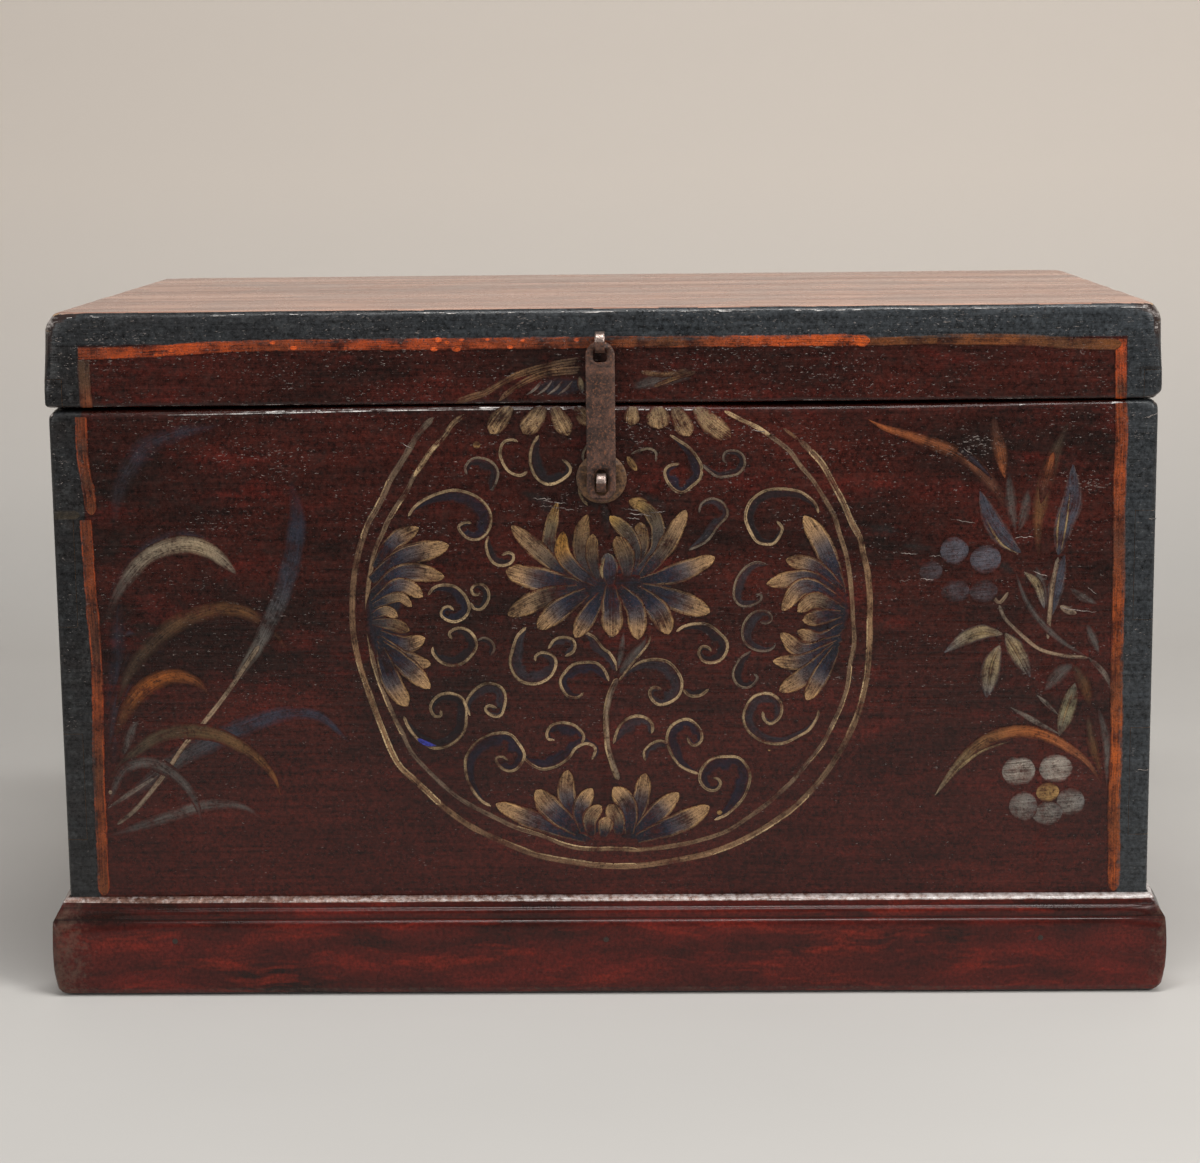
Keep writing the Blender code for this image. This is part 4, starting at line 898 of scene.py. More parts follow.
# %% Scrolls: side of the wash, its paint and half width, the line's paint, the path
WASH_SPREAD, GOLD_LINE, GREY_LINE = 1.3, 1.3, 1.15
SCROLLS = """
right wash_blue 4.5 line -151,382 -146,389 -138,395 -126,400 -114,402 -102,399 -94,394 -88,386 -87,377 -90,369
    -96,364 -104,364 -110,369 -112,374 -106,377 -102,376
left wash_dark 2.5 line -89,366 -91,359 -89,350 -84,344 -77,343 -71,346 -70,351 -74,353 -79,351
right wash_dark 4 line_grey -105,414 -106,420 -101,426 -94,427 -86,424 -81,417 -82,409 -86,401
left none 0 line -65,439 -69,441 -76,439 -79,431 -77,423 -72,416 -64,413 -58,416
left wash_dark 4 line -49,444 -54,436 -56,426 -54,416 -49,409 -42,406 -34,408 -26,414 -25,419 -28,423 -31,425
left none 0 line_grey -9,439 -13,434 -15,429 -15,424
left none 0 line -17,407 -18,400 -15,393 -11,390 -8,391
left none 0 line_grey 22,429 29,432 36,433 41,430 41,423
right wash_blue 4 line 52,444 59,439 66,434 72,427 76,419 75,410 69,404 62,399 55,401 49,409 48,416 52,420
    59,421
left wash_dark 2 line_grey 76,421 81,416 88,411 95,411 104,413 109,419 109,425 105,430 98,431 94,429 93,424
    96,421
left wash_dark 3 line 166,382 164,389 159,394 151,399 138,401 126,400 116,394 111,386 110,377 114,367 119,360
    126,358 132,359 137,366 138,371 134,376
left wash_grey 3 line_grey 126,342 119,344 111,341 104,333 101,324 101,316 106,310 114,310 121,314 122,318
    118,319
left wash_grey 3.5 line_grey 121,297 126,296 130,299 128,304 122,306 115,304 109,297 107,289 109,281 115,276
    122,274 129,275 133,279
left wash_dark 3 line_grey 114,274 106,269 101,261 100,254 104,247 111,245 116,248 119,253 116,256
right wash_grey 3.3 line 167,227 165,220 159,211 151,206 141,201 131,200 121,203 112,210 108,219 109,227
    114,236 121,240 129,240 136,235 138,229 136,221 129,216 124,220 123,226
left wash_blue 4.8 line 85,139 94,143 101,149 108,157 112,167 113,176 110,183 104,189 95,190 85,189 78,184
    74,177 74,170 79,164 86,163 90,168 88,172 84,173
right wash_blue 5 line 73,176 65,179 58,183 52,191 49,199 48,206 51,214 58,219 65,220 71,216 75,210 75,203
    70,199 66,201 64,206
right wash_blue 4.5 line -91,151 -99,156 -106,166 -110,177 -110,190 -104,200 -95,207 -85,210 -75,209 -68,201
    -64,193 -66,186 -72,180 -79,180 -85,185 -86,190 -81,191 -77,188
left wash_blue 4.2 line -64,190 -59,185 -51,181 -42,182 -34,186 -28,191 -24,197 -17,201 -11,200 -8,196 -11,188
right wash_blue 4.5 line -40,204 -45,205 -46,210 -42,216 -34,218 -25,216 -19,211 -17,206 -19,201
left wash_dark 3.5 line -158,224 -155,216 -149,207 -142,201 -134,198 -124,200 -115,206 -110,214 -109,223
    -109,231 -113,239 -121,242 -129,241 -135,236 -137,230 -134,224 -129,224 -129,229
right wash_grey 4.5 line -106,224 -109,233 -106,240 -99,247 -91,250 -82,247 -78,240 -79,231 -82,224 -89,224
    -94,229 -91,232 -85,230
left wash_dark 3.5 line -134,279 -134,274 -128,267 -119,264 -111,266 -104,272 -100,279 -101,286 -106,292
    -113,294 -119,292 -121,289 -119,285
right wash_dark 2.5 line_grey -99,284 -94,286 -88,283 -86,277 -89,272
right wash_blue 4 line -137,320 -132,326 -124,328 -115,326 -108,319 -105,310 -108,303 -115,299 -122,300
    -127,304 -126,309 -121,311 -117,308
left wash_dark 2 line -104,314 -101,309 -95,309 -90,316 -90,323 -94,328 -100,328 -103,324 -101,320 -96,321
left wash_grey 4.8 line -61,294 -68,287 -72,276 -74,266 -71,257 -65,251 -56,249 -48,251 -41,257 -38,266
    -41,272 -49,274 -54,271 -54,267
right wash_grey 3 line -44,277 -39,284 -32,286 -25,284 -23,279 -25,274 -31,271
right wash_grey 4 line -16,290 -8,286 -1,277 4,273 9,264 9,259
left wash_blue 4.2 line 3,251 0,259 -6,265 -15,266 -25,264 -32,257 -35,250 -31,241 -25,238 -20,239 -17,242
right wash_grey 4.6 line 11,251 18,260 28,266 39,268 49,266 56,259 60,250 58,240 51,234 42,232 36,237 35,243
    39,246 44,244
left wash_dark 2.5 line 61,244 66,239 74,239 81,244
right wash_dark 4 line 56,290 62,294 71,296 81,295 89,289 95,282 95,274 90,267 82,265 76,267 73,273 76,278
    81,277 83,274
right wash_grey 5 line 6,201 10,213 16,220 25,223 34,220 37,214 36,209
left wash_grey 3 line_grey 66,354 80,361 89,373 96,381 93,390 84,394 76,390 74,383
"""
scrolls = rows(SCROLLS, 4)
for side, wash, half, _, path in scrolls:
    if wash != "none":
        points = places(path)
        pull(wash, points if side == "left" else points[::-1], float(half) * WASH_SPREAD, 1.0)
for *_, line, path in scrolls:
    pull(line, path, GOLD_LINE if line == "line" else GREY_LINE)
STEM, TENDRIL = "10,253 4,240 1,226 1,211 2,197 6,183 10,172", "49,201 42,203 35,200 30,194 31,187"
pull("stem", STEM, 2.4)
pull("line", STEM, 0.9, -2.0)
pull("blade_grey", "10,260 13,275 15,290", 3)
pull("blade_grey", "10,254 20,268 30,280 33,288", 5)
pull("line", "14,256 24,268 33,279 36,287", 0.9)
pull("wash_grey", TENDRIL, 4.5, 1.0)
pull("line", TENDRIL, GREY_LINE)
pull("bright_blue", "-148,206 -141,202 -133,200", 2.3)
for x, z, size in ((-97, 437, 3), (89, 145, 2.2), (128, 195, 1)):
    pull("gold_dab", f"{x - size},{z} {x + size},{z}", size)
pull("gold_dab", "19,427 23,421 26,416", 3)
print("strokes for rings and scrolls:", len(SAMPLES["chest"]))

# %% Petals: paint, half width and path, laid so that the lower ones of each flower cover the upper ones
PRESSED = 1.12
PETALS = {
    "lotus in the middle": """
blue_mass 13 -44,333 0,329 54,334
blue_mass 13 -40,323 4,322 52,325
petal_dark 5.2 -19,330 -37,343 -42,361 -39,379 -35,392
petal_tan 6.4 -24,330 -47,351 -62,365 -71,374
petal_brown 6 -7,330 -17,351 -16,371 -12,382
petal_brown 5 -5,332 -9,351 -8,367
petal_gold 6 -6,328 -22,339 -32,353 -31,369
petal_brown 6.5 26,342 28,357 29,376
petal_dark 5.4 26,338 40,354 42,372 35,385 21,393
gold_dab 5 38,383 30,389 20,393
petal_dark 5.6 23,340 25,352 19,367 5,381
petal_tan 6.4 29,333 46,353 56,370 64,385
petal_brown 7 18,334 17,349 10,365
petal 7.2 28,329 57,336 86,348
petal 9 -20,327 -51,332 -76,339
petal_tan 7.6 -20,324 -48,317 -75,304
petal 8 -13,322 -35,308 -52,293
petal 8.4 29,325 55,315 82,305
petal 8.2 24,324 42,306 50,288
petal 6.8 -2,320 -12,304 -23,286
petal 7.6 11,325 24,308 26,284
petal 8.2 5,327 6,306 6,286
petal_blue 6.6 5,327 4,340 3,352
rib 1.6 -1,332 -2,340 1,349
""",
    "half lotus on the left": """
blue_mass 8 -180,325 -178,300 -173,275 -166,255
blue_mass 9 -174,340 -163,326 -164,304
blue_mass 10 -172,298 -160,282 -158,262
petal 6 -178,342 -163,362 -143,373
petal 8 -181,332 -155,350 -120,359
petal 7 -180,322 -155,338 -124,334
petal 6 -180,314 -158,328 -141,319
petal_tan 4 -180,312 -160,319 -150,311
petal_tan 4 -181,304 -170,308 -161,303
petal_brown 5 -181,299 -165,297 -152,292
petal 6.5 -176,290 -157,281 -140,286
petal 6.5 -176,286 -157,270 -136,265
petal 7 -175,282 -155,264 -137,246
petal 7.5 -175,278 -167,252 -155,232
""",
    "half lotus on the right": """
blue_mass 9 178,345 181,312 176,284 167,260
blue_mass 9 172,342 164,328 166,310
blue_mass 10 174,298 162,282 159,264
petal 7.5 185,318 170,356 155,380
petal 6.5 184,322 162,340 141,346
petal 6.5 185,316 158,331 126,327
petal 6.5 186,310 156,325 138,306
petal_tan 6 186,305 164,314 150,305
petal 6 184,303 170,301 154,298
petal 5.5 186,294 168,283 150,290
petal 6.5 184,284 156,274 137,288
petal 6 182,280 156,266 131,266
petal 6.5 180,278 158,256 136,242
petal 6.5 180,276 168,254 157,235
""",
    "half lotus below": """
blue_mass 6 12,126 40,131 68,137
blue_mass 6 -12,124 -40,132 -66,141
blue_mass 10 -44,144 -22,139 -3,130
blue_mass 10 46,144 26,140 7,130
petal 7 -16,124 -58,140 -87,153
petal 7 -22,132 -31,158 -30,180
petal 8.5 -22,130 -43,148 -55,164
petal 6.5 20,130 27,156 31,177
petal 7 22,128 43,148 57,161
petal 8 24,124 60,138 81,150
petal 6.5 -18,130 -20,149 -11,165
petal 7.5 18,128 17,150 6,166
petal_tan 6 -12,127 -13,141 -4,151
petal_tan 6.5 10,128 8,140 2,152
petal_tan 6 -3,126 -1,134 1,142
""",
    "half lotus above": """
petal_rim 7 -70,467 -79,457 -86,446
petal_rim 7.8 -45,467 -52,457 -61,446
petal_rim 7 -37,467 -32,456 -26,444
petal_rim 6 -20,467 -14,460 -8,453
petal_rim 6 24,468 23,461 22,452
petal_rim 8.8 42,468 43,459 44,449
petal_rim 7.6 56,467 61,455 67,443
petal_rim 8 72,467 83,454 98,441
""",
}
for strokes in PETALS.values():
    for paint, half, path in rows(strokes, 2):
        pull(paint, path, float(half) * PRESSED)
# What is left of the half lotus on the lid.
pull("blue_mass", "-50,481 -30,481 -10,483", 8, body="lid")
for x in (-46, -38, -30, -22):
    pull("thin_grey", f"{x},486 {x - 5},480 {x - 12},475", 1.3, body="lid")
pull("leaf_cream", "-17,489 -16,483 -15,476", 3, body="lid")
pull("blade_grey", "22,480 45,486 70,487", 6, body="lid")
pull("ring_faint", "30,492 48,490 66,493", 2.4, body="lid")
pull("ring_faint", "40,481 56,487 72,492", 2.0, body="lid")
print("petals:", {flower: len(rows(strokes, 2)) for flower, strokes in PETALS.items()})

# %% [markdown]
# ## The two sprays and the border
# On the left bends a tuft of grass with a bud, and on the right stand leaves, berries and a five-petalled
# flower. Long blades begin thin, swell in the middle and end in a point, as a brush leaves them.
# Flakes, charred patches and painted glints along the worn edges are short strokes too. The orange line of the
# border is last, because it crosses the ends of the blades.

# %% Grass on the left, leaves and berries on the right: paint, half width and path
SPRAYS = """
char 14 -392,165 -376,182 -360,200
char 9 -392,205 -384,250 -378,300
smear 9 -388,180 -384,240 -380,300 -378,335
smear 7 -384,205 -376,250 -372,282
blade_blue 10 -380,375 -376,400 -366,421 -354,436 -339,445 -321,451 -303,454 -290,458
blade_blue 5 -392,195 -384,235 -372,262 -358,275 -343,277
blade_grey 5 -381,190 -372,215 -366,222
blade_blue 8 -388,304 -381,323 -369,340 -356,355 -339,365 -321,367 -306,361 -294,350
arch_cream 7.6 -388,303 -381,320 -370,336 -357,350 -339,359 -321,361 -306,356 -296,348 -286,338
blade_olive 8 -384,232 -375,256 -362,274 -346,290 -330,301 -314,307 -299,310 -284,309 -270,302 -258,291
    -246,274
blade_rust 8 -386,209 -377,228 -365,244 -350,254 -336,257 -321,253 -309,240
leaf_long 9.5 -392,152 -360,173 -335,192 -313,203 -290,214 -262,224 -240,227 -222,223 -201,203
stem 2.1 -387,138 -370,152 -350,176 -332,201 -317,218 -299,240 -281,265 -270,281
bud 9 -287,257 -271,281 -257,308 -247,332 -240,360 -237,384 -241,410
arch_olive 6.5 -394,171 -381,187 -366,200 -348,210 -328,213 -306,210 -288,201 -272,189 -261,174 -257,161
blade_grey 5.5 -394,152 -383,178 -370,187 -357,187 -343,180 -330,167 -323,152 -320,138
blade_grey 6 -394,129 -370,136 -343,145 -321,152 -299,154 -283,150 -270,140
thin_grey 2.4 -394,151 -373,165 -352,178
smear 3 -376,289 -371,292 -366,290
cream_dab 2 -393,164 -390,164
char 6 200,371 216,369 234,366
char 4 228,357 242,355 258,354
char 6 304,342 311,338 318,333
blade_orange 6 204,456 216,449 235,442 256,434 271,428 284,420 296,407 309,390 322,368 330,356
blade_blue 2.5 267,436 286,421 300,407
blade_orange 6 309,408 306,425 302,442 299,460
blade_grey 5 312,412 314,388 318,364
blade_olive 7 357,452 346,423 339,400 335,372 336,345
blade_orange 5 346,428 341,408 337,388
blade_grey 5 327,399 324,380 320,366
leaf_blue 9 351,348 355,372 361,390 361,418
rib 1.0 350,352 350,368 352,384
rib 0.9 353,350 357,374 359,396
leaf_blue 6.5 346,300 349,320 356,348
leaf_blue 8 322,350 312,358 300,374 290,398
rib 1.0 320,349 306,358 295,376
stem 2.0 351,346 347,325 345,300 344,282
blade_grey 4 334,340 338,326 343,306
stem 1.7 306,309 311,298 324,285 338,274 356,269 376,267
thin_grey 2.6 376,267 387,256 396,240
stem 1.6 300,318 306,311 313,319
blade_grey 3 318,336 326,314 338,296 355,280 376,267
leaf_cream 4 325,335 335,325 341,306
blade_grey 4 374,294 379,282 384,270
leaf_cream 6.8 309,286 294,288 280,283 264,272
leaf_cream 8.4 307,277 301,262 297,236
leaf_cream 7.4 311,287 320,273 331,252
rib 1.2 306,285 294,287 280,283
rib 1.2 306,276 301,262 299,246
rib 1.2 312,285 319,274 325,262
blade_grey 6.5 365,262 355,256 342,241
blade_olive 6 364,262 372,248 378,228
leaf_green 7 366,247 360,225 354,205
rib 1.0 364,240 359,224 356,212
thin_grey 2 336,238 345,230 353,222
thin_grey 2.6 316,228 335,217 355,206
blade_olive 4.5 376,222 380,200 388,172
blade_grey 4 384,229 391,200 392,165
arch_orange 5.6 258,158 273,179 289,196 307,206 326,209 344,205 362,195 378,182 388,166
rib 1.5 262,162 277,180 294,193 316,201
blade_grey 4 360,322 371,315 382,309
cream_dab 3 353,308 360,304 366,302
"""
sprays = rows(SPRAYS, 2)
for number, (paint, half, path) in enumerate(sprays):
    pull(paint, path, float(half), layer=number)
ROUND_DABS = (
    ("berry", 271, 352, 11, 11), ("berry", 295, 345, 12, 12), ("berry_dim", 253, 336, 9, 9),
    ("berry_dim", 272, 320, 11, 10), ("berry_dim", 294, 320, 11, 10), ("flower", 323, 177, 13, 12),
    ("flower", 352, 179, 13, 12), ("flower_dim", 327, 149, 11, 12), ("flower_dim", 346, 143, 12, 10),
    ("flower_dim", 364, 152, 11, 12), ("gold_dab", 346, 160, 9, 8),
)
for number, (paint, x, z, wide, high) in enumerate(ROUND_DABS):
    pull(paint, f"{x - wide},{z - 1} {x},{z} {x + wide},{z + 1}", high, layer=len(sprays) + number)
print("strokes with the sprays:", len(SAMPLES["chest"]))

# %% Lifting flakes, some of them painted glints, scratches and charred patches: place, length and slope in degrees
FLAKE_LAYER, CHAR_LAYER, GLINT_LAYER, RIM_GLINT_LAYER = 90, 60, 60, 95
FLAKE_HALF_MM, WIGGLE_MM = 0.34, 1.3
FLAKES = (
    (280, 428, 8, -30), (277, 374, 20, -10), (236, 349, 13, -6), (256, 347, 9, 4), (233, 328, 9, 5),
    (250, 329, 11, -4), (324, 361, 15, 3), (367, 304, 28, -8), (377, 319, 9, -40), (336, 333, 14, -20),
    (424, 375, 10, 5), (421, 455, 12, 15), (420, 177, 11, 0), (-46, 394, 14, -4), (-36, 391, 18, -6),
    (-42, 388, 12, -3), (-29, 386, 16, -6), (22, 385, 14, -5), (30, 381, 18, -6), (43, 383, 12, 4),
    (24, 378, 10, -4), (-250, 419, 12, 3), (-150, 436, 10, -30), (120, 446, 12, -12),
)
for number, (x, z, length, slope) in enumerate(FLAKES):
    along = Vector((math.cos(math.radians(slope)), math.sin(math.radians(slope)))) * length / 2
    wiggle = [noise.noise(Vector((number * 3.1, i * 1.7, 0.0))) * WIGGLE_MM for i in range(9)]
    path = [Vector((x, z)) + along * (i - 4) / 4 + Vector((0.0, wiggle[i])) for i in range(9)]
    pull("flake", path, FLAKE_HALF_MM, layer=FLAKE_LAYER + number)
CHARRED = ("-12,394 -2,386 6,372", "2,396 2,382 3,364", "28,396 40,392 50,386", "-66,400 -50,396 -38,380")
for number, path in enumerate(CHARRED):
    pull("char", path, 7, layer=CHAR_LAYER + number)
pull("crack", "411,492 418,492 427,492", 1.1, body="lid")
pull("crack", "411,493 411,489 411,485", 0.9, body="lid")

# %% Painted glints: pale dashes along the lid's worn top edge and the rim of the box
chance = random.Random(5)
for body, level, first, last, count in (
    ("lid", 537.4, -415, 415, 46), ("lid", 537.4, -110, 240, 34), ("chest", 465.2, -290, 15, 34),
    ("chest", 465.2, 40, 410, 7),
):
    for number in range(count):
        x, reach = chance.uniform(first, last), 0.7 + 9.0 * chance.random() ** 3
        height, slope = level + chance.uniform(-0.8, 0.8), chance.uniform(-0.4, 0.4)
        dash = [Vector((x + reach * step, height + slope * step ** 3)) for step in (-1, -0.3, 0.4, 1)]
        pull("glint", dash, 0.2 + 0.5 * chance.random(), body=body, layer=GLINT_LAYER + number / 2)
pull("glint", "-335,465 -250,465 -140,465 -60,465 20,465 72,465", 0.5, layer=RIM_GLINT_LAYER)
print("strokes with the chipped edges:", {body: len(strokes) for body, strokes in SAMPLES.items()})

# %% The orange border line
CROSS_LAYER, STRIPE_LAYER = 78, 80
pull("stripe_olive", "-427,385 -416,385 -406,385", 4, layer=CROSS_LAYER)
pull("stripe_left", "-402,464 -402,430 -398,400 -397,385", 5, layer=STRIPE_LAYER)
pull("stripe_left", "-402,381 -401,350 -400,320 -399,300 -398,275 -398,250 -399,220 -400,180 -400,140 "
     "-400,100 -400,80", 5, layer=STRIPE_LAYER + 1)
pull("stripe", "397,466 398,440 397,400 398,340 398,300 398,250 399,200 398,150 399,110 399,80", 5.3,
     layer=STRIPE_LAYER + 2)
pull("stripe_turn", "-398,512 -398,490 -397,460", 5, body="lid")
pull("stripe_dull", "200,514 220,514 262,515", 3.6, body="lid")
pull("stripe_lid", "-402,510 -350,511 -300,514 -250,515 -180,515 -90,515 0,515 90,515 180,515 205,514", 4.8,
     body="lid")
for x, z, size in (
    (-125, 518, 2.4), (-118, 516, 1.8), (-107, 518, 1.6), (-128, 511, 2.2), (-111, 511, 2.6), (-87, 518, 1.3),
    (-60, 517, 1.4), (-70, 512, 1.8), (-19, 517, 1.6), (-330, 512, 2.0), (-342, 509, 1.5), (-252, 517, 1.7),
    (-236, 513, 2.1),
):
    pull("stripe_blob", f"{x - 1.4 * size},{z} {x + 1.4 * size},{z}", size, body="lid")
pull("stripe_dull", "256,515 320,514 360,511 396,510", 4.8, body="lid")
pull("stripe_lid", "396,514 396,490 397,460", 4.7, body="lid")
print("strokes:", {body: len(strokes) for body, strokes in SAMPLES.items()})

# %% [markdown]
# ## From strokes to ribbons
# Geometry Nodes sweeps a flat line along each path and scales it to the brush's width. The strokes lie
# flat on the ground while they are swept, because a flat ribbon then needs no twisting, and the finished
# sheet is stood up against the front. Each layer lies a few thousandths of a millimetre above the last,
# as real paint does. Near the worn edges the ribbons are bent round with the wood.


# %% The ribbon tree
POINTS_ACROSS = 5


def ribbon_tree():
    """Sweeps a flat line along every stroke and stands the sheet up against the front."""
    tree = bpy.data.node_groups.new("brushed_ribbons", "GeometryNodeTree")
    kinds = {"Strokes": "Geometry", "Points Across": "Int", "Front": "Float", "Paint": "Material"}
    for name, kind in kinds.items():
        tree.interface.new_socket(name, in_out="INPUT", socket_type="NodeSocket" + kind)
    tree.interface.new_socket("Ribbons", in_out="OUTPUT", socket_type="NodeSocketGeometry")
    given = put(tree, "NodeGroupInput").outputs
    paths = put(tree, "GeometryNodeMeshToCurve", given["Strokes"])
    paths = put(tree, "GeometryNodeSetCurveNormal Z_UP", paths)
    flat = put(tree, "GeometryNodeCurvePrimitiveLine", start=(-1.0, 0.0, 0.0), end=(1.0, 0.0, 0.0))
    flat = put(tree, "GeometryNodeResampleCurve", curve=flat, count=given["Points Across"])
    side = put(tree, "SeparateXYZ", put(tree, "GeometryNodeInputPosition")).outputs["X"]
    flat = put(tree, "GeometryNodeStoreNamedAttribute FLOAT POINT", geometry=flat, name="across", value=side)
    width = put(tree, "GeometryNodeInputNamedAttribute FLOAT", name="half_width")
    sheet = put(tree, "GeometryNodeCurveToMesh", curve=paths, profile_curve=flat, scale=width)
    depth = put(tree, "CombineXYZ", y=given["Front"])
    upright = put(tree, "GeometryNodeTransform", geometry=sheet, translation=depth,
                  rotation=(math.pi / 2, 0.0, 0.0))
    whole = put(tree, "GeometryNodeRealizeInstances", upright)
    painted = put(tree, "GeometryNodeSetMaterial", geometry=whole, material=given["Paint"])
    put(tree, "NodeGroupOutput", ribbons=painted)
    return tree


RIBBONS = ribbon_tree()
SOCKET = {item.name: item.identifier for item in RIBBONS.interface.items_tree if item.in_out == "INPUT"}
print("ribbon inputs:", list(SOCKET))


# %% Sweep the ribbons and lay them on the wood
def painted_sheet(name, body):
    """All strokes of one body as one mesh that hugs the worn wood."""
    strokes = SAMPLES[body]
    samples = [sample for stroke in strokes for sample in stroke]
    links, first = [], 0
    for stroke in strokes:
        links += [(first + i, first + i + 1) for i in range(len(stroke) - 1)]
        first += len(stroke)
    paths = bpy.data.meshes.new(name + "_paths")
    spots, lifts, widths, runs, *colours = zip(*samples)
    paths.from_pydata([(p.x * MM, p.y * MM, lift * MM) for p, lift in zip(spots, lifts)], links, [])
    for title, values in (("half_width", widths), ("run", runs)):
        paths.attributes.new(title, "FLOAT", "POINT").data.foreach_set("value", [v * MM for v in values])
    for title, values in zip(("paint", "rim", "style"), colours):
        shares = [share for value in values for share in value]
        paths.attributes.new(title, "FLOAT_COLOR", "POINT").data.foreach_set("color", shares)
    carrier = bpy.data.objects.new(name + "_paths", paths)
    bpy.context.scene.collection.objects.link(carrier)
    sweep_step = carrier.modifiers.new("ribbons", "NODES")
    sweep_step.node_group = RIBBONS
    for title, value in (("Points Across", POINTS_ACROSS), ("Front", FRONT_Y), ("Paint", DISTEMPER)):
        sweep_step[SOCKET[title]] = value
    graph = bpy.context.evaluated_depsgraph_get()
    swept = carrier.evaluated_get(graph)
    mesh = bpy.data.meshes.new_from_object(swept, preserve_all_data_layers=True, depsgraph=graph)
    bpy.data.objects.remove(carrier)
    for vert in mesh.vertices:
        lift = FRONT_Y - vert.co.y
        base, outward = drawn_in(Vector((vert.co.x, FRONT_Y, vert.co.z)), body)
        vert.co = sunk(base, body) + outward * lift
    mesh.name = name
    made = bpy.data.objects.new(name, mesh)
    bpy.context.scene.collection.objects.link(made)
    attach(made, body)
    return made


painted_front = painted_sheet("painted_front", "chest")
painted_lid_front = painted_sheet("painted_lid_front", "lid")
for sheet in (painted_front, painted_lid_front):
    facing = sum(p.normal.y * p.area for p in sheet.data.polygons) / sum(p.area for p in sheet.data.polygons)
    print(sheet.name, "faces:", len(sheet.data.polygons), "mean normal along y:", round(facing, 2),
          "attributes:", [a.name for a in sheet.data.attributes if not a.is_internal])

# %% [markdown]
# ## Plinth
# The plinth is a moulding: a flat face, a groove, a bead and a narrow ledge, mitred at the front corners.
# It has been kicked for years. Its long edges are eased, its corners are rounded most near the floor, and
# its faces are no longer quite flat. Its hollows and foot carry painted shade, and its beads and ledge a
# painted highlight besides their wear.


# %% Worn plinth
LEDGE_Z, MOULDING_Z, SCUFF_Z, FOOT_Z, BEAD_FROM_Z = 75.5 * MM, 50 * MM, 8 * MM, 2.5 * MM, 30 * MM
LEFT_REACH, RIGHT_REACH, SIDE_REACH, FLOOR_REACH = 90 * MM, 30 * MM, 50 * MM, 22 * MM
LEFT_SWELL_MM, RIGHT_SWELL_MM, SWELL_MIDDLE_MM, SWELL_REACH_MM = 2.2, 3.6, 38.0, 36.0
OFF_BOARD, PEG_LONG, PEG_RADIUS, PEG_PROUD = 2 * MM, 10 * MM, 2.7 * MM, 0.5 * MM
KEPT_DEPTH_MM, LOST_DEPTH_MM, LOST_FROM_MM, LOST_OVER_MM = 13.4, 11.0, 55.0, 24.0
BEAD_EASE, LONG_STEP, HIGH_STEP, FACE_TOP_Z = 1.1 * MM, 8 * MM, 6 * MM, 60 * MM
GROOVE_SHADE, DEEPEST_SHADE, BEAD_WEAR_AND_HIGHLIGHT, MOST_WEAR = 2.2, 0.85, 1.6, 0.66
LEDGE_WEAR_AND_HIGHLIGHT, MORE_LIGHT_ON_RIGHT, SCUFF_WEAR, CORNER_WEAR = 0.53, 0.10, 0.46, 0.56


def near_corner(point):
    """1 at the plinth's front corners, falling to 0 along both sides: far on the left, near on the right."""
    along_front = (PLINTH_HIGH.x - abs(point.x)) / (LEFT_REACH if point.x < 0 else RIGHT_REACH)
    along_side = (point.y - PLINTH_LOW.y) / SIDE_REACH
    share = nearness(max(along_front, along_side), 1.0)
    return share * share * (3 - 2 * share)


def plinth_edge(point):
    """Rounding of the plinth's box: small along the edges, large at the corners near the floor."""
    low_down = nearness(point.z, FLOOR_REACH)
    return (2.4 + 8.0 * near_corner(point) * low_down + 0.8 * noise.noise(point * 30.0)) * MM


PLINTH_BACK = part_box("plinth_back")[1].y
ENVELOPES["plinth"] = (PLINTH_LOW, Vector((PLINTH_HIGH.x, PLINTH_BACK, PLINTH_HIGH.z)), plinth_edge)


def plinth_wear(point):
    """Where wear has taken a point of the plinth: mouldings gone at the corners, ends swollen, faces uneven."""
    worn = point.copy()
    corner = near_corner(point)
    # A corner keeps only some of the moulding's depth, and less and less of it higher up.
    higher = max(0.0, point.z / MM - LOST_FROM_MM)
    limit = (KEPT_DEPTH_MM - LOST_DEPTH_MM * higher / LOST_OVER_MM) * MM
    worn.y += corner * max(0.0, FRONT_Y - point.y - limit)
    side = math.copysign(1.0, point.x)
    worn.x -= side * corner * max(0.0, abs(point.x) - BODY_HALF - limit)
    moved, outward = drawn_in(worn, "plinth")
    if abs(point.x) > BODY_HALF + OFF_BOARD:
        swollen = max(0.0, 1.0 - ((point.z / MM - SWELL_MIDDLE_MM) / SWELL_REACH_MM) ** 2)
        moved.x += side * (LEFT_SWELL_MM if side < 0 else RIGHT_SWELL_MM) * swollen * MM
    if point.y < FRONT_Y - OFF_BOARD or abs(point.x) > BODY_HALF + OFF_BOARD:
        dent_mm = max(0.0, 0.2 + 0.4 * noise.noise(point * 14.0) + 0.2 * noise.noise(point * 50.0))
        moved -= outward * dent_mm * MM
    return moved


def hollow(vert, index):
    """How hollow the moulding is at a point: above 0 in a groove, below 0 on a bead."""
    sides = [(edge.other_vert(vert).co - vert.co).normalized() for edge in vert.link_edges]
    sides = [side.dot(vert.normal) for side in sides if abs(side[index]) < 0.5]
    return sum(sides) / len(sides) if sides else 0.0


PEGS = {}
for node in (name for name in NODES if name.startswith("plinth_peg")):
    low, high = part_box(node)
    along = Vector((high.x - low.x > PEG_LONG, high.y - low.y > PEG_LONG, 0.0))
    PEGS[node] = ((low + high) / 2, along * math.copysign(1.0, (low + high).dot(along)))


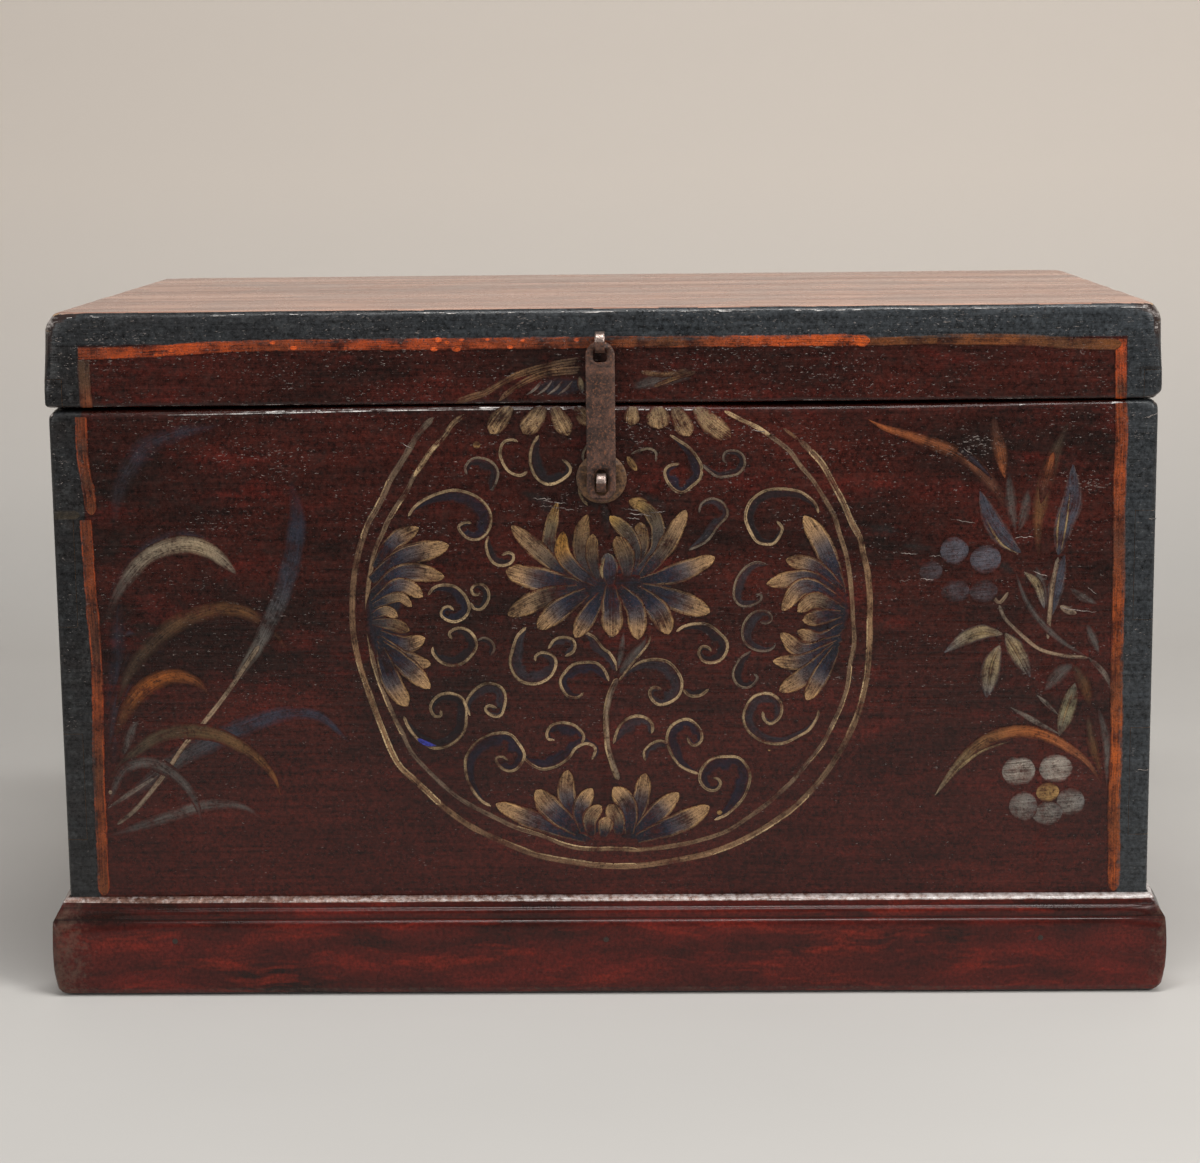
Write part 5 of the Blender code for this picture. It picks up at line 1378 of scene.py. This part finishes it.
def close_peg_holes(mesh):
    """Fills the holes of the pegs, whose heads lie just proud of the face."""
    walls = set()
    for middle, outward in PEGS.values():
        for face in mesh.faces:
            offsets = [vert.co - middle for vert in face.verts]
            if all((offset - outward * offset.dot(outward)).length < PEG_RADIUS for offset in offsets):
                walls.add(face)
    bmesh.ops.delete(mesh, geom=list(walls), context="FACES")
    bmesh.ops.holes_fill(mesh, edges=[edge for edge in mesh.edges if edge.is_boundary])
    bmesh.ops.dissolve_limit(mesh, angle_limit=FLAT, verts=mesh.verts, edges=mesh.edges)


def plinth_finish(finish):
    """The moulding's lacquer, or the finish of its ledge: rubbed, with a painted highlight."""
    return lambda centre, normal: WORN_LEDGE_WITH_HIGHLIGHT if centre.z > LEDGE_Z and normal.z > 0.25 else finish


def worn_plinth(node, length_axis, finish):
    """A copy of one length of the moulding with eased edges and slightly uneven faces."""
    low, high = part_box(node)
    index = "XYZ".index(length_axis)
    mesh = solid_copy(node)
    close_peg_holes(mesh)
    long_edges = [
        e for e in mesh.edges
        if len(e.link_faces) == 2 and abs((e.verts[0].co - e.verts[1].co).normalized()[index]) > 0.99
        and e.calc_face_angle_signed(0.0) > math.radians(20) and e.verts[0].co.z > BEAD_FROM_Z
    ]
    bmesh.ops.bevel(mesh, geom=long_edges, offset=BEAD_EASE, segments=3, affect="EDGES", clamp_overlap=True)
    cut(mesh, length_axis, steps(low[index], high[index], LONG_STEP))
    for place, axis in enumerate("XYZ"):
        right_edges = [PLINTH_HIGH.x - d for d in EDGE_CUTS] if axis == "X" else []
        cut(mesh, axis, [PLINTH_LOW[place] + d for d in EDGE_CUTS] + right_edges, (low, high))
    cut(mesh, "Z", steps(0.0, FACE_TOP_Z, HIGH_STEP))
    wear, grime = mesh.verts.layers.float.new("wear"), mesh.verts.layers.float.new("grime")
    mesh.normal_update()
    for vert in mesh.verts:
        form = hollow(vert, index) if vert.co.z > MOULDING_Z else 0.0
        # Painted shade in the hollows of the moulding.
        vert[grime] = min(DEEPEST_SHADE, max(0.0, GROOVE_SHADE * form))
        # Wear and a painted highlight pale the beads, and the ledge too, more towards the right, where the
        # light is stronger.
        vert[wear] = min(MOST_WEAR, max(0.0, -BEAD_WEAR_AND_HIGHLIGHT * form))
        if vert.co.z > LEDGE_Z:
            vert[wear] = LEDGE_WEAR_AND_HIGHLIGHT + MORE_LIGHT_ON_RIGHT * vert.co.x / PLINTH_HIGH.x
        elif FOOT_Z < vert.co.z < SCUFF_Z:
            vert[wear] = SCUFF_WEAR
        # Painted shadow along the foot, where the plinth meets the floor.
        if vert.co.z < FOOT_Z:
            vert[grime] = DEEPEST_SHADE
    for vert in mesh.verts:
        vert[wear] = max(vert[wear], CORNER_WEAR * near_corner(vert.co))
        vert.co = plinth_wear(vert.co)
    bmesh.ops.triangulate(mesh, faces=[face for face in mesh.faces if len(face.verts) > 4])
    return finished(mesh, "worn_" + node, node, [finish, WORN_LEDGE_WITH_HIGHLIGHT], plinth_finish(finish), 50)


def flush_peg(node):
    """A peg whose head has worn down with the moulding and stands a little proud of it."""
    mesh = solid_copy(node)
    for vert in mesh.verts:
        vert.co = plinth_wear(vert.co) + PEGS[node][1] * PEG_PROUD
    return finished(mesh, "worn_" + node, node, [BAMBOO])


worn_plinths = [worn_plinth("plinth_front", "X", PLINTH_LACQUER)]
worn_plinths += [worn_plinth(node, "Y", PLINTH_SIDE_LACQUER) for node in ("plinth_left", "plinth_right")]
worn_plinths += [flush_peg(node) for node in NODES if node.startswith("plinth_peg")]
print("faces of the plinth:", [len(piece.data.polygons) for piece in worn_plinths])

# %% [markdown]
# ## Iron
# The hasp and its eyes were forged by hand. The strap is brown with rust, finely pitted, and rubbed bright
# on its edges. The eyes are split pins: one round rod bent double. Hands and a padlock have polished the
# tops of the eyes. The mesh keeps the solid's shape, with its edges eased so that they catch the light.


# %% Rusty iron
def rusty_iron(name, dark, pale, spot):
    """Old wrought iron: brown rust with dark scale and orange spots, grey metal where it is rubbed."""
    made, tree = new_material(name)
    where = put(tree, "TexCoord").outputs["Object"]
    cloud = put(tree, "TexNoise", where, per_mm(14), 5.0, 0.65)
    pits = put(tree, "TexNoise", where, per_mm(2.2), 4.0, 0.7)
    share = put(tree, "MapRange", cloud, 0.35, 0.65)
    colour = put(tree, "Mix RGBA", share, dark, pale)
    spots = put(tree, "MapRange", pits, 0.53, 0.64, to_max=0.75)
    colour = put(tree, "Mix RGBA", spots, colour, spot)
    scale = put(tree, "MapRange", pits, 0.46, 0.36, to_max=0.85)
    colour = put(tree, "Mix RGBA", scale, colour, "#2a201d")
    rubbed = worn_away(tree, pits, 0.8)
    bright = put(tree, "MapRange", rubbed, 0.45, 0.7)
    colour = put(tree, "Mix RGBA", bright, colour, "#a08e86")
    rough = put(tree, "MapRange", bright, to_min=0.58, to_max=0.34)
    metal = put(tree, "MapRange", bright, to_min=0.25, to_max=0.95)
    relief = put(tree, "Math MULTIPLY_ADD", cloud, 1.5, pits)
    coat(tree, relief, 0.6, 0.5, base_color=colour, metallic=metal, roughness=rough)
    return made


IRON = rusty_iron("rusty_iron", "#2b1d18", "#674a3f", "#86573f")
PLATE_IRON = rusty_iron("rusty_iron_plate", "#3f2c20", "#6f5139", "#86603f")


# %% Hasp, eyes and plate with eased edges
NEAR_SIDE, OFF_SIDE, IRON_STEP, RUB_DEEP = 1.2 * MM, 3 * MM, 6 * MM, 0.5 * MM
EDGE_RUB, FACE_RUB, POLISH, DULL, PLATE_RUB = 0.42, 0.12, 0.7, 0.22, 0.2


def eased(node, ease, rub, finish=None):
    """A copy of an iron piece with its sharp edges eased, and its wear given by rub(point)."""
    mesh = solid_copy(node)
    sharp = [e for e in mesh.edges if len(e.link_faces) == 2 and e.calc_face_angle(0.0) > math.radians(40)]
    bmesh.ops.bevel(mesh, geom=sharp, offset=ease, segments=2, affect="EDGES", clamp_overlap=True)
    low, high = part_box(node)
    cut(mesh, "X", [low.x + NEAR_SIDE, low.x + OFF_SIDE, high.x - OFF_SIDE, high.x - NEAR_SIDE])
    cut(mesh, "Z", steps(low.z, high.z, IRON_STEP))
    wear = mesh.verts.layers.float.new("wear")
    for vert in mesh.verts:
        vert[wear] = rub(vert.co)
    return finished(mesh, "eased_" + node, node, [finish or IRON], None, 40)


STRAP_LOW, STRAP_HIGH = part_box("hasp_strap")


def strap_rub(point):
    """The strap's long edges are rubbed a little."""
    from_side = min(point.x - STRAP_LOW.x, STRAP_HIGH.x - point.x)
    return EDGE_RUB if from_side < RUB_DEEP else FACE_RUB


def eye_rub(node):
    """The eyes are polished on their upper half, where they stand proud of the strap."""
    middle = sum(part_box(node), Vector()) / 2
    return lambda point: POLISH if point.y < STRAP_LOW.y + RUB_DEEP and point.z > middle.z else DULL


hasp_strap = eased("hasp_strap", 0.35 * MM, strap_rub)
hasp_eye = eased("hasp_eye", 0.2 * MM, eye_rub("hasp_eye"))
lock_eye = eased("lock_eye", 0.2 * MM, eye_rub("lock_eye"))
lock_plate = eased("lock_plate", 0.3 * MM, lambda point: PLATE_RUB, PLATE_IRON)
print("hasp pieces:", [len(piece.data.polygons) for piece in (hasp_strap, hasp_eye, lock_eye, lock_plate)])

# %% [markdown]
# ## Pieces that keep their solid shape
# Hinges with their nails, bottom planks, glue blocks and the plain back of the plinth are right as solids.
# They keep their mesh and only get the finish of the real thing.

# %% Finish the remaining pieces
KEPT = (
    ("hinge_", IRON), ("bottom_plank", BARE_WOOD), ("corner_block", BARE_WOOD), ("plinth_back", PLINTH_LACQUER),
)
for start, finish in KEPT:
    for node in (name for name in NODES if name.startswith(start)):
        NODES[node].data.materials.clear()
        NODES[node].data.materials.append(finish)
print("pieces that keep their solid:", sum(name.startswith(start) for name in NODES for start, _ in KEPT))
